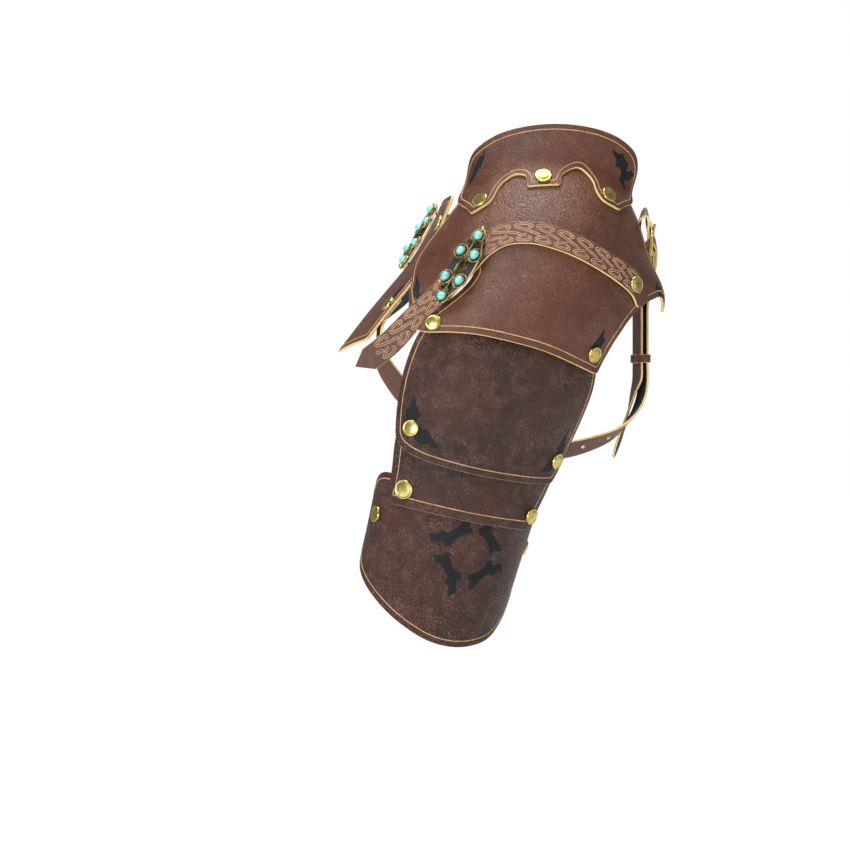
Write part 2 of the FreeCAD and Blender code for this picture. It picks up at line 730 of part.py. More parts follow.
def buckle_chape(label, place, rivets, slotted):
    width = size["strap_width"]
    length = size["chape_length"]
    layers = []
    for word, low in (("outer", over_bar), ("inner", -over_chape)):
        layers.append(bound("Part::Box", "%s_%s" % (label, word), at(place, -length, -width / 2, low), {
            "Length": "sizes.chape_length",
            "Width": "sizes.strap_width",
            "Height": "sizes.strap_leather",
        }))
    turn = bound("Part::Cylinder", label + "_turn", at(place, 0, width / 2, 0, (0, -1, 0), (0, 0, -1)), {
        "Radius": "sizes.bar_radius + sizes.bar_clearance + sizes.strap_leather",
        "Height": "sizes.strap_width",
    })
    turn.Angle = 180
    bore = bound("Part::Cylinder", label + "_bore", at(place, 0, -width / 2 - 1, 0, (0, 1, 0)), {
        "Radius": "sizes.bar_radius + sizes.bar_clearance",
        "Height": "sizes.strap_width + 2",
    })
    solid = fused(label + "_fold", layers + [turn])
    tools = [bore]
    if slotted:
        slot = bound("Part::Box", label + "_slot", at(place, -5, -size["chape_slot"] / 2, -over_chape - 1), {
            "Width": "sizes.chape_slot",
        })
        slot.Length = 5 + over_chape + 1
        slot.Height = 2 * over_chape + 2
        tools.append(slot)
    for number, hole in enumerate(rivets):
        post = bound("Part::Cylinder", "%s_hole_%d" % (label, number + 1), hole, {"Radius": "sizes.post_radius"})
        post.Height = 20
        tools.append(post)
    every = fused(label + "_tools", tools) if len(tools) > 1 else bore
    made = doc.addObject("Part::Cut", label)
    made.Base = solid
    made.Tool = every
    doc.recompute()
    return keep(made, label)


def strap_keeper(label, place, low, high):
    # A leather loop round the layers between the two heights.
    room = 0.1
    thick = size["keeper_leather"]
    half = size["strap_width"] / 2 + room
    outer = bound("Part::Box", label + "_outer", at(place, 0, -half - thick, low - room - thick), {
        "Length": "sizes.keeper_width",
        "Width": "sizes.strap_width + 2 * sizes.keeper_leather + 0.2",
    })
    outer.Height = high - low + 2 * room + 2 * thick
    inner = bound("Part::Box", label + "_inner", at(place, -1, -half, low - room), {
        "Length": "sizes.keeper_width + 2",
        "Width": "sizes.strap_width + 0.2",
    })
    inner.Height = high - low + 2 * room
    made = doc.addObject("Part::Cut", label)
    made.Base = outer
    made.Tool = inner
    doc.recompute()
    return keep(made, label)


def local(place, x, y, z):
    p = place.multVec(V(x, y, z))
    return (p.x, p.y, p.z)


def turned(place, x, y, z):
    p = place.Rotation.multVec(V(x, y, z))
    return (p.x, p.y, p.z)


def billet_stations(place, tail, lead):
    # The strap end that runs under the tip bar, over the heel bar and on over the chape.
    across = turned(place, 0, -1, 0)
    low = -size["bar_radius"] - strap_thick / 2 - 0.45
    high = over_chape + strap_thick / 2 + 0.2
    path = [(28 + lead, low), (23.5, low), (20.5, low), (17, low + 0.7), (12.5, low + 3), (8, high - 2.2),
            (3, high - 0.3), (-2, high), (-12, high), (-tail, high)]
    return [(local(place, x, 0, z), across) for x, z in path]


# Back buckle behind the shoulder.
back_place = FreeCAD.Placement(V(90.5, 5, -44), FreeCAD.Rotation(V(0, -0.5, 0.866), V(0, -0.866, -0.5), V(1, 0, 0), "ZXY"))
buckle_frame("back_buckle_frame", back_place, "sizes.buckle_reach", size["buckle_reach"])
buckle_prong("back_buckle_prong", back_place)
chape_grip = 2 * over_chape + 0.1
back_rivet = at(back_place, -12.5, 0, over_chape)
chape_rivet_hole = at(back_place, -12.5, 0, -10)
buckle_chape("back_chape", back_place, [chape_rivet_hole], True)
back_chape_rivet = rivet_group("back_chape_rivet", [(back_rivet, chape_grip)])
back_stations = [
    station(cap_point, -1.0, 98, 68, 8, -10, 4.4),
    station(cap_point, -1.0, 105, 59, 8, -10, 4.4),
    station(cap_point, -1.0, 112, 50, 8, -10, 4.4),
    ((80.0, -8, -24.5), (0.22, 0.93, 0.2)),
    ((83.0, -8, -17.0), (0.1, 0.94, 0.33)),
    ((86.2, -8.2, -14.6), (0, 0.9, 0.42)),
] + billet_stations(back_place, 22, 0.5)
back_inside = station(cap_point, -1.0, 103.5, 61, 8, -10, 5.4)[0]
back_rivets = rivet_group("back_strap_rivets", [
    (place_at(back_inside, normal_of(cap_point, 103.5, 61, -1.0)), strap_thick + 1.6),
])

# The ring under the cap's rear corner hangs on the cross strap.
ring_turn = math.radians(16.7)
ring_place = FreeCAD.Placement(V(85.8, 45, -69), FreeCAD.Rotation(
    V(0, 0, -1), V(math.sin(ring_turn), -math.cos(ring_turn), 0), V(-math.cos(ring_turn), -math.sin(ring_turn), 0), "ZXY"))

# Cross strap round the wearer's other side, from the back buckle to the chest plate.
cross_stations = [
    ((90.5, -3, -56.5), (0, 0, 1)),
    ((90.5, 5, -56.5), (0, 0, 1)),
    ((90.5, 14, -56.5), (0, 0, 1)),
    ((90.5, 24, -56.5), (0, 0, 1)),
    (local(ring_place, -12.5, 11, 0), (0, 0, 1)),
    (local(ring_place, -12.5, 4, 0), (0, 0, 1)),
    (local(ring_place, -12.5, -4, 0), (0, 0, 1)),
    (local(ring_place, -12.5, -11, 0), (0, 0, 1)),
    ((71, 95, -63), (0, 0, 1)),
    ((68, 140, -66), (0, 0, 1)),
    ((58, 190, -74), (-0.05, 0, 1)),
    ((36, 233, -86), (-0.1, 0.05, 1)),
    ((4, 258, -95), (-0.05, 0.1, 1)),
    ((-34, 262, -97), (0, 0.1, 1)),
    ((-68, 246, -90), (0.1, 0.1, 1)),
    ((-90, 221, -76), (0.3, 0.05, 1)),
    station(chest_point, -1.0, 190, 59, -10, 0, under_chest),
    station(chest_point, -1.0, 176, 60, -10, 0, under_chest),
    station(chest_point, -1.0, 164, 60, -10, 0, under_chest),
]
# The cross strap's start stays clear of the heel bar and the prong's ring.
heel_room = Part.makeBox(20, 40, 8)
heel_room.Placement = at(back_place, -3.5, -20, -4, (0, 0, 1))
# Ring under the cap's rear corner and the strap that turns round it.
buckle_frame("underarm_ring", ring_place, "sizes.buckle_reach * 0.7", size["buckle_reach"] * 0.7)
ring_hole = at(ring_place, -12, 0, -10)
buckle_chape("ring_chape", ring_place, [ring_hole], False)
ring_chape_rivet = rivet_group("ring_chape_rivet", [
    (at(ring_place, -12, 0, -over_chape, (0, 0, -1)), chape_grip),
])
ring_low = local(ring_place, size["buckle_reach"] * 0.7, 0, 0)
bend = 2.62


def ring_station(angle, drop):
    q = math.radians(angle)
    x = size["buckle_reach"] * 0.7 - bend * math.sin(q) + drop
    return (local(ring_place, x, 0, bend * math.cos(q)), turned(ring_place, 0, -1, 0))


underarm_stations = [
    ((63, 58, -221), (0.2, 0.97, 0)),
    ((69, 58, -203), (0.2, 0.97, 0)),
    ((75.5, 56, -183), (0.1, 0.98, 0)),
    ((80, 51.5, -165), (-0.1, 0.98, 0)),
    (local(ring_place, 83, 0, bend + 0.2), turned(ring_place, 0, -1, 0)),
    (local(ring_place, 72, 0, bend), turned(ring_place, 0, -1, 0)),
    (local(ring_place, 60, 0, bend), turned(ring_place, 0, -1, 0)),
    (local(ring_place, 42, 0, bend), turned(ring_place, 0, -1, 0)),
    ring_station(0, 12),
    ring_station(0, 0),
    ring_station(45, 0),
    ring_station(90, 0),
    ring_station(135, 0),
    ring_station(180, 0),
    ring_station(180, 12),
    (local(ring_place, 42, 0, -bend), turned(ring_place, 0, -1, 0)),
    (local(ring_place, 60, 0, -bend), turned(ring_place, 0, -1, 0)),
    (local(ring_place, 72, 0, -bend), turned(ring_place, 0, -1, 0)),
    (local(ring_place, 84, 0, -bend - 0.2), turned(ring_place, 0, -1, 0)),
    ((85.6, 42.5, -170), (-0.3, 0.95, -0.1)),
    ((77.5, 40, -186), (-0.3, 0.92, -0.3)),
    ((64.5, 37, -198.5), (-0.2, 0.88, -0.45)),
    ((44, 34, -207.5), (-0.08, 0.82, -0.58)),
    ((22, 32, -213), (0, 0.76, -0.65)),
    ((-8, 32, -215.5), (0, 0.76, -0.65)),
    ((-42, 30, -212), (-0.1, 0.76, -0.65)),
    ((-74, 25, -200.5), (-0.3, 0.72, -0.62)),
    ((-101, 18, -181), (-0.5, 0.64, -0.57)),
    ((-122, 13, -157), (-0.62, 0.58, -0.53)),
    ((-133.5, 14, -138), (-0.5, 0.78, -0.4)),
    ((-136.5, 18.5, -121), (-0.2, 0.96, -0.1)),
    station(chest_point, -1.0, 24, 122, 0, -10, under_chest),
    station(chest_point, -1.0, 24, 112, 0, -10, under_chest),
    station(chest_point, -1.0, 24, 102, 0, -10, under_chest),
]
underarm_rows = ribbon_rows(underarm_stations)
underarm_point = ribbon_point(underarm_rows)
keeper_place = at(ring_place, 63, 0, 0)

# Arm strap inside the cuff, closed on the inner side of the arm.
arm_row = 48
arm_place = FreeCAD.Placement(V(-62, 32.5, -283.2), FreeCAD.Rotation(V(-0.972, 0.04, 0.23), V(0.23, 0.02, 0.973), V(0.03, 1, -0.03), "ZXY"))
buckle_frame("arm_buckle_frame", arm_place, "sizes.buckle_reach", size["buckle_reach"])
buckle_prong("arm_buckle_prong", arm_place)
arm_hole = at(arm_place, -12.5, 0, -10)
buckle_chape("arm_chape", arm_place, [arm_hole], True)
arm_chape_rivet = rivet_group("arm_chape_rivet", [(at(arm_place, -12.5, 0, over_chape), chape_grip)])


def cuff_station(u, direction):
    return station(cuff_point, 1.0, u, arm_row, direction, 0, under_chest)


arm_stations = [
    cuff_station(-76, -10), cuff_station(-90, -10), cuff_station(-104, -10), cuff_station(-120, -10),
    cuff_station(-140, -10),
    ((-127.5, 13, -267.5), (-0.2, 0, -0.98)),
    ((-112, 25.5, -271.3), (-0.22, 0, -0.97)),
] + billet_stations(arm_place, 26, -1)
arm_rear_stations = [
    cuff_station(92, 10), cuff_station(105, 10), cuff_station(120, 10),
    ((-26.5, 9, -290.5), (0.2, 0, 0.98)),
    ((-33.5, 23, -289), (0.2, 0, 0.98)),
    (local(arm_place, -22, 0, 0), turned(arm_place, 0, 1, 0)),
    (local(arm_place, -16, 0, 0), turned(arm_place, 0, 1, 0)),
    (local(arm_place, -10, 0, 0), turned(arm_place, 0, 1, 0)),
    (local(arm_place, -6, 0, 0), turned(arm_place, 0, 1, 0)),
]
cuff_rivets = rivet_group("arm_strap_rivets", [
    (on_surface(cuff_point, -84.7, 47.7), through_strip),
    (on_surface(cuff_point, 104, 48), through_strip),
])


# Clasps: two halves hooked together, each with three stones in settings.
def clasp_place(centre, along, out):
    return place_at(centre, unit(out), unit(along))


def wire(label, place, start, end, words="sizes.wire_radius"):
    run = [end[i] - start[i] for i in range(3)]
    length = math.sqrt(sum(k * k for k in run))
    made = bound("Part::Cylinder", label, at(place, start[0], start[1], start[2], unit(run), (0.1, 0.2, 0.3)), {
        "Radius": words,
    })
    made.Height = length
    return made


SPOTS = [(29.5, 0), (12.5, 7.6), (12.5, -7.6)]


def clasp_half(label, place, hooked):
    pieces = []
    level = size["setting_height"] - size["wire_radius"]
    for number, (x, y) in enumerate(SPOTS):
        pieces.append(bound("Part::Cylinder", "%s_setting_%d" % (label, number + 1), at(place, x, y, 0), {
            "Radius": "sizes.setting_radius",
            "Height": "sizes.setting_height",
        }))
        pieces.append(bound("Part::Torus", "%s_loop_%d" % (label, number + 1), at(place, x, y, level), {
            "Radius1": "sizes.lobe_radius",
            "Radius2": "sizes.wire_radius",
        }))
    pieces.append(wire(label + "_spine", place, (6, 0, level), (36, 0, level)))
    pieces.append(wire(label + "_bridge", place, (12.5, -7.6, level), (12.5, 7.6, level)))
    pieces.append(wire(label + "_brace_1", place, (12.5, 7.6, level), (29.5, 0, level)))
    pieces.append(wire(label + "_brace_2", place, (12.5, -7.6, level), (29.5, 0, level)))
    tip = bound("Part::Sphere", label + "_tip", at(place, 36.4, 0, level), {})
    tip.Radius = 1.9
    pieces.append(tip)
    pin = bound("Part::Cylinder", label + "_pin", at(place, 29.5, 0, -8.2), {"Radius": "sizes.wire_radius"})
    pin.Height = 8.6
    pieces.append(pin)
    if hooked:
        pieces.append(wire(label + "_rise", place, (6, 0, level), (6, 0, 2.75)))
        pieces.append(wire(label + "_hook", place, (6, 0, 2.75), (-3.2, 0, 2.75)))
        pieces.append(wire(label + "_stub", place, (-3.2, 0, 0.2), (-3.2, 0, 2.75)))
        for number, x in enumerate((6, -3.2)):
            pieces.append(bound("Part::Sphere", "%s_bend_%d" % (label, number + 1), at(place, x, 0, 2.75), {
                "Radius": "sizes.wire_radius",
            }))
    else:
        ring = bound("Part::Torus", label + "_eye", at(place, 3.2, 0, level), {"Radius2": "sizes.wire_radius * 0.9"})
        ring.Radius1 = 3.0
        pieces.append(ring)
    made = fused(label, pieces)
    doc.recompute()
    return keep(made, label)


def clasp_stones(label, places):
    stones = []
    for place in places:
        for x, y in SPOTS:
            stone = bound("Part::Sphere", "%s_%d" % (label, len(stones) + 1), at(place, x, y, size["setting_height"]), {
                "Radius": "sizes.stone_radius",
            })
            stone.Angle1 = 0
            stone.Angle2 = 90
            stones.append(stone)
    made = doc.addObject("Part::Compound", label)
    made.Links = stones
    doc.recompute()
    return keep(made, label)


near_along = (0.502, 0.219, 0.837)
near_out = (-0.472, -0.743, 0.478)
near_centre = (-69.2, -88.8, -64.6)
near_upper = clasp_place(near_centre, near_along, near_out)
near_lower = clasp_place(near_centre, [-k for k in near_along], near_out)
far_along = (0.43, 0.498, 0.752)
far_out = (-0.8, -0.22, 0.56)
far_centre = (-103.5, 84.9, -28.0)
far_upper = clasp_place(far_centre, far_along, far_out)
far_lower = clasp_place(far_centre, [-k for k in far_along], far_out)
clasp_half("near_clasp_eye", near_upper, False)
clasp_half("near_clasp_hook", near_lower, True)
clasp_half("far_clasp_eye", far_upper, False)
clasp_half("far_clasp_hook", far_lower, True)
clasp_stones("near_clasp_stones", [near_upper, near_lower])
clasp_stones("far_clasp_stones", [far_upper, far_lower])


def leaf_stations(place, end_drop):
    under = -0.35 - strap_thick / 2
    path = [(-40, under - end_drop), (-33, under - end_drop * 0.75), (-24, under - end_drop * 0.2), (-14, under),
            (0, under), (14, under), (24, under - end_drop * 0.2), (33, under - end_drop * 0.75),
            (40, under - end_drop)]
    return [(local(place, x, 0, z), turned(place, 0, 1, 0)) for x, z in path]


def leaf_outline(stations, half_width):
    length = ribbon_rows(stations)[-1][0]
    m = length / 2
    return [
        (2, 0, 2), (14, -5, 6), (m - 12, -half_width, 12), (m + 12, -half_width, 12), (length - 14, -5, 6),
        (length - 2, 0, 2), (length - 14, 5, 6), (m + 12, half_width, 12), (m - 12, half_width, 12), (14, 5, 6),
    ]


near_leaf_stations = leaf_stations(near_upper, 0.0)
far_leaf_stations = leaf_stations(far_upper, 0.7)
eye_centre = near_upper.multVec(V(0, 0, -6))
eye_across = near_upper.Rotation.multVec(V(0, 1, 0))
eye_axis = near_upper.Rotation.multVec(V(0, 0, 1))
eye_reach = 30.0
eye_a = Part.makeCylinder(eye_reach, 12, eye_centre + eye_across * (eye_reach - 5.5), eye_axis)
eye_b = Part.makeCylinder(eye_reach, 12, eye_centre - eye_across * (eye_reach - 5.5), eye_axis)
eye_cut = eye_a.common(eye_b)


def punched(point, rows, spots, side=-1.0):
    return [through(on_surface(point, u, 0, 0, side), size["hole_radius"], -4, 4) for u in spots]


def node_shape(label):
    for made in NODES:
        if made.Label == label:
            return made.Shape
    raise RuntimeError(label + " is missing")


def finish():
    doc.recompute()
    os.makedirs("parts", exist_ok=True)
    for made in NODES:
        if "Invalid" in made.State or "Error" in made.State:
            raise RuntimeError(made.Label + " did not recompute")
        if made.Shape.isNull() or not made.Shape.isValid():
            raise RuntimeError(made.Label + " is not a valid shape")
        made.Shape.exportStep("parts/" + made.Label + ".step")
        print(made.Label, len(made.Shape.Solids), round(made.Shape.Volume, 1))


clasp_pins = [node_shape(label) for label in ("near_clasp_eye", "near_clasp_hook", "far_clasp_eye", "far_clasp_hook")]
leather("shoulder_cap", plate(cap_point, CAP_OUTLINE, (0, 60), size["leather"]),
        [collar_rivets.Shape, cap_pivot_rivets.Shape, strip_rivets.Shape, bridge_rivets.Shape, back_rivets.Shape]
        + clasp_pins)
leather("neck_collar", plate(collar_point, COLLAR_OUTLINE, (0, 60), size["leather"], 0.0, -1.0),
        [collar_rivets.Shape])
leather("knotwork_strip", strap(strip_stations, strap_thick, strip_tools), [strip_rivets.Shape] + clasp_pins)
leather("upper_lame", plate(upper_point, UPPER_OUTLINE, (0, 60), size["leather"]),
        swing_holes(cap_point, CAP_PIVOTS) + [upper_pivot_rivets.Shape])
leather("middle_lame", plate(middle_point, MIDDLE_OUTLINE, (0, 40), size["leather"]),
        swing_holes(upper_point, UPPER_PIVOTS) + [middle_pivot_rivets.Shape])
leather("lower_cuff", plate(cuff_point, CUFF_OUTLINE, (0, 60), size["leather"]),
        swing_holes(middle_point, MIDDLE_PIVOTS) + [cuff_rivets.Shape])
leather("chest_plate", plate(chest_point, CHEST_OUTLINE, (100, 80), size["leather"], 0.0, -1.0),
        [chest_rivets.Shape] + clasp_pins)
leather("chest_bridge", strap(bridge_stations, strap_thick, rounded_end(bridge_stations, False)),
        [chest_rivets.Shape, bridge_rivets.Shape])
leather("near_leaf", ribbon(near_leaf_stations, leaf_outline(near_leaf_stations, 12.5), strap_thick, 1.0),
        [eye_cut] + clasp_pins)
leather("far_leaf", ribbon(far_leaf_stations, leaf_outline(far_leaf_stations, 12.5), strap_thick, 1.0), clasp_pins)
underarm_holes = punched(underarm_point, underarm_rows, [24, 44, underarm_rows[21][0] + 8, underarm_rows[21][0] + 31])
leather("underarm_strap", strap(underarm_stations, strap_thick, pointed_end(underarm_stations, False)),
        [chest_rivets.Shape] + underarm_holes)
leather("cross_strap", strap(cross_stations, strap_thick, rounded_end(cross_stations, True)),
        [back_chape_rivet.Shape, ring_chape_rivet.Shape, chest_rivets.Shape, heel_room])
leather("back_strap", strap(back_stations, strap_thick, pointed_end(back_stations, True)),
        [back_rivets.Shape, back_chape_rivet.Shape] + prong_space(back_place, 10))
leather("arm_strap", strap(arm_stations, strap_thick, pointed_end(arm_stations, True)),
        [cuff_rivets.Shape, arm_chape_rivet.Shape] + prong_space(arm_place, 10))
leather("arm_rear_strap", strap(arm_rear_stations, strap_thick, rounded_end(arm_rear_stations, False)),
        [cuff_rivets.Shape, arm_chape_rivet.Shape])
strap_keeper("underarm_keeper", keeper_place, -bend - strap_thick / 2 - 0.05, bend + strap_thick / 2 + 0.05)
finish()
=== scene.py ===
import bpy
import math
import numpy as np
from mathutils import Matrix, Vector, geometry


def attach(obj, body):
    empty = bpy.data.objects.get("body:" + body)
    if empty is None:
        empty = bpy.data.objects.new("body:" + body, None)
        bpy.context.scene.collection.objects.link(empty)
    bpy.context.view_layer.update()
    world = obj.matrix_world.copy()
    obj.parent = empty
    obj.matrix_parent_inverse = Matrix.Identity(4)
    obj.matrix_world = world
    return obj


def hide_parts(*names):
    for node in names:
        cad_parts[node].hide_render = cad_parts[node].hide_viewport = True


# Leather shoulder armour. Tables and outlines are in millimetres, as in the part's source.

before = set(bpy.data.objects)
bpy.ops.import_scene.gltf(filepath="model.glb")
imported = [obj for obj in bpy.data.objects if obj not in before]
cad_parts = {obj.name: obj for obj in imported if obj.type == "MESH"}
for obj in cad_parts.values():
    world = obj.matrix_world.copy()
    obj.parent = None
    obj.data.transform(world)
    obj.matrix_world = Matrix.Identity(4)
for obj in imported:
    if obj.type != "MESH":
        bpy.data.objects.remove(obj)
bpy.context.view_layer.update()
MM = 0.001
FLOOR = -560.0

LEATHER = 2.4
STRAP = 2.0
WIDTH = 20.0
STRAP_HOLE = 1.7
HEAD = 7.0
WIDE_HEAD = 8.3
BACK_DISC = 5.0
BACK_HEIGHT = 1.2
POST = 2.0
BAR = 1.5
REACH = 20.0
HALF_BAR = 13.0
OVER_BAR = 1.58
OVER_CHAPE = OVER_BAR + STRAP
CHAPE_RIVET = -12.5
ARM_ROW = 48.0

# Row tables: v, centre x, y, z, half width, half depth, droop, slope, turn in degrees.
CAP_ROWS = [
    (0, 2, 8, 24, 73, 52, 32, 0, 0),
    (35, -1.5, 8, -2.4, 86.5, 73, 32, 0, 0),
    (70, -7, 8, -32, 100, 91.5, 30, 0, 0),
    (105, -6, 6, -65, 109.5, 102, 23, -0.04, 2),
    (140, -21, -11, -99, 107.5, 94, 9, -0.13, 6),
    (165, -40, -28, -124, 101.5, 81.5, 1, -0.18, 10),
    (185, -45.5, -28, -143, 104, 83, 0, -0.2, 10),
]
COLLAR_ROWS = [
    (28, -0.5, 8, 8, 84.5, 67, 32, 0, 0),
    (42, 2.5, 8, 20.5, 78, 58.5, 31, 0, 0),
    (52, 5.5, 8, 29.5, 78, 55.5, 28, 0, 0),
    (66, 8.5, 8, 43, 81, 56, 24, 0, 0),
    (82, 10, 8, 58.5, 84, 58.5, 20, 0, 0),
    (96, 12, 8, 72, 88, 61, 18, 0, 0),
]
UPPER_ROWS = [
    (0, -32, -26, -100, 85, 62, 0, -0.2, 10),
    (22, -40, -28, -122, 92.5, 73.5, 0, -0.2, 10),
    (43, -46.5, -28, -143, 95.5, 75.5, 0, -0.2, 10),
    (110, -67.6, -27, -208, 86.5, 69.5, 0, -0.22, 10),
    (140, -75, -26, -238, 86, 69, 0, -0.22, 10),
]
MIDDLE_ROWS = [
    (0, -64.5, -27, -192, 82, 65, 0, -0.22, 10),
    (16, -67.6, -27, -208, 81, 64, 0, -0.22, 10),
    (70, -75, -26, -262, 72, 58.5, 0, -0.22, 10),
    (92, -80.7, -25, -284, 71, 58, 0, -0.22, 10),
]
CUFF_ROWS = [
    (0, -67, -26, -232, 67.5, 55, 0, -0.23, 10),
    (30, -74.8, -25.5, -261.5, 65.5, 53.3, 0, -0.23, 10),
    (70, -85, -25, -300, 63.3, 52, 0, -0.24, 10),
    (130, -100.5, -24, -358, 61.7, 50, 0, -0.24, 10),
    (150, -106, -24, -377, 61.7, 50, 0, -0.24, 10),
]
CHEST_ROWS = [
    (-14, -80, 16), (-2, -82.4, 4.4), (25, -93.6, -20), (59, -110.5, -49),
    (94.5, -133, -76.5), (115, -146, -92), (161, -174.5, -128.6), (189, -192, -150),
]

# Outlines: pattern points with a corner radius.
CAP_OUTLINE = [
    (-98, 14, 8), (-40, 3, 30), (60, -4, 40), (108, 12, 8), (124, 45, 30), (124, 84, 25), (142, 116, 2),
    (122, 105, 14), (90, 121, 14), (79, 142, 16), (92, 164, 8), (85, 176.5, 5), (57, 172.5, 20),
    (24, 166.5, 20), (-26, 163.3, 20), (-50, 164.8, 10), (-73, 169, 5), (-84, 168, 2),
    (-75.5, 150, 10), (-66, 136.5, 8), (-56.5, 121, 8), (-52, 107, 5), (-57, 100.5, 4),
    (-64, 106, 5), (-76, 123, 8), (-89, 136, 6), (-104, 148.5, 3), (-113, 134, 8),
    (-131, 106, 25), (-136, 68, 25), (-118, 36, 20),
]
COLLAR_OUTLINE = [
    (-64, 0, 2.5), (-75, 9, 5), (-99, 24, 8), (-112, 48, 15), (-104, 66, 15), (-60, 75.5, 25),
    (0, 79, 30), (60, 75, 25), (105, 66, 15), (124, 50, 12), (110, 28, 12), (86, 15, 6),
    (78, 8.5, 3), (59, 11.5, 6), (52, 20, 6), (50, 36, 9), (33, 45.5, 9), (17, 35, 6),
    (15, 21.5, 3), (-16, 19.5, 3), (-19.5, 33, 4), (-32, 37, 8), (-45, 28, 7), (-48, 8, 6),
]
UPPER_OUTLINE = [
    (-70, 13, 8), (-30, 6, 15), (76, 3, 8), (88, 20, 10), (91, 40, 20), (91, 60, 20), (99, 92, 15),
    (99, 108, 10), (87, 125.5, 6), (56, 128.7, 15), (10, 131, 25), (-24, 130, 20), (-50, 127.5, 15),
    (-72, 119, 12), (-77, 100, 15), (-79, 76, 25), (-77, 30, 12),
]
MIDDLE_OUTLINE = [
    (-62, 1, 6), (78, 1, 8), (87, 16, 10), (85, 32, 15), (73, 58, 12), (68.5, 72.5, 5),
    (13, 75.2, 25), (-18, 75.2, 25), (-48, 74.6, 10), (-71, 74.6, 5), (-76, 69, 3), (-70, 48, 15),
    (-66, 26, 12),
]
CUFF_OUTLINE = [
    (-124, 33, 8), (-106, 19, 10), (-88, 12, 10), (-20, 11, 20), (122, 16, 6), (120, 62, 15), (104, 86, 20),
    (76, 111, 15), (60, 127, 14), (28, 138.5, 18), (-2, 139, 18), (-36, 126.5, 15), (-78, 105, 12),
    (-106, 90, 12), (-124, 68, 12),
]
CHEST_OUTLINE = [
    (10, 1, 8), (100, 1, 25), (150, 7, 25), (190, 44, 15), (192, 100, 15), (160, 140, 25),
    (100, 161, 30), (60, 158, 20), (12, 149, 4), (13, 100, 20), (12, 50, 20),
]


# Surfaces. Every point function takes arrays of u and v and gives an array of points.
def hermite(rows):
    table = np.array(rows, float)
    x = table[:, 0]
    y = table[:, 1:]
    step = np.diff(x)
    rise = np.diff(y, axis=0) / step[:, None]
    tangent = np.empty_like(y)
    tangent[0] = rise[0]
    tangent[-1] = rise[-1]
    tangent[1:-1] = (rise[1:] * step[:-1, None] + rise[:-1] * step[1:, None]) / (x[2:] - x[:-2])[:, None]

    def value(place):
        i = np.clip(np.searchsorted(x, place, side="left") - 1, 0, len(step) - 1)
        span = step[i][:, None]
        s = (place - x[i])[:, None] / span
        return (
            (2 * s ** 3 - 3 * s ** 2 + 1) * y[i] + (s ** 3 - 2 * s ** 2 + s) * span * tangent[i]
            + (3 * s ** 2 - 2 * s ** 3) * y[i + 1] + (s ** 3 - s ** 2) * span * tangent[i + 1]
        )
    return value


def wrapped(rows, reference):
    value = hermite(rows)

    def point(u, v):
        cx, cy, cz, half_width, half_depth, droop, slope, turn = value(v).T
        angle = u / reference
        across = half_width * np.sin(angle)
        outward = half_depth * np.cos(angle)
        q = np.radians(turn)
        x = cx + across * np.cos(q) + outward * np.sin(q)
        y = cy - outward * np.cos(q) + across * np.sin(q)
        z = cz - droop * (1 - np.cos(angle)) + slope * (x - cx)
        return np.stack([x, y, z], axis=-1)
    return point


def normals(point, u, v, side=1.0):
    e = 0.05
    p = point(u + e, v) - point(u - e, v)
    q = point(u, v + e) - point(u, v - e)
    return side * units(np.cross(q, p))


def lifted(point, u, v, height, side=1.0):
    return point(u, v) + normals(point, u, v, side) * np.reshape(height, (-1, 1))


def units(rows):
    return rows / np.linalg.norm(rows, axis=-1, keepdims=True)


def left_of(steps):
    return np.stack([-steps[:, 1], steps[:, 0]], axis=-1)


def smooth(x):
    x = np.clip(x, 0, 1)
    return x * x * (3 - 2 * x)


cap_point = wrapped(CAP_ROWS, 100.0)
collar_stand = wrapped(COLLAR_ROWS, 100.0)
upper_point = wrapped(UPPER_ROWS, 90.0)
middle_point = wrapped(MIDDLE_ROWS, 75.0)
cuff_point = wrapped(CUFF_ROWS, 65.0)
chest_value = hermite(CHEST_ROWS)


def collar_point(u, v):
    k = smooth((v - 32) / 26.0)[:, None]
    return lifted(cap_point, u, 50 - v, 2.6) * (1 - k) + collar_stand(u, v) * k


def chest_point(u, v):
    x, z = chest_value(v).T
    return np.stack([x + (8 + 12 * smooth(v / 100.0)) * ((u - 100) / 88.0) ** 2, u, z], axis=-1)


def one(function, u, v, *more):
    return function(np.array([float(u)]), np.array([float(v)]), *more)[0]


def surface_spot(point, u, v, side=1.0):
    return one(point, u, v), one(lambda a, b: normals(point, a, b, side), u, v)


def unit(a):
    a = np.array(a, float)
    return a / np.linalg.norm(a)


def ribbon_rows(stations):
    rows = []
    run = 0.0
    for number, (centre, across) in enumerate(stations):
        if number:
            run += float(np.linalg.norm(np.array(centre) - np.array(stations[number - 1][0])))
        rows.append((run,) + tuple(centre) + tuple(unit(across)))
    return rows


def ribbon_point(rows):
    value = hermite(rows)

    def point(u, v):
        all_six = value(u)
        return all_six[:, :3] + v[:, None] * units(all_six[:, 3:])
    return point


def station(point, side, u, v, du, dv, height, tilt=0.0):
    # A ribbon station on a surface heading along (du, dv), lying height above it.
    p, n = surface_spot(point, u, v, side)
    along = unit(one(point, u + du * 0.1, v + dv * 0.1) - p)
    across = unit(np.cross(n, along))
    t = math.radians(tilt)
    return (tuple(p + height * n), tuple(across * math.cos(t) - n * math.sin(t)))


def laid(point, side, height, *spots):
    return [station(point, side, *spot, height) for spot in spots]


# Flat patterns.
def toward(p, q, distance):
    length = np.linalg.norm(q - p)
    return p + (q - p) * (min(distance, 0.48 * length) / length)


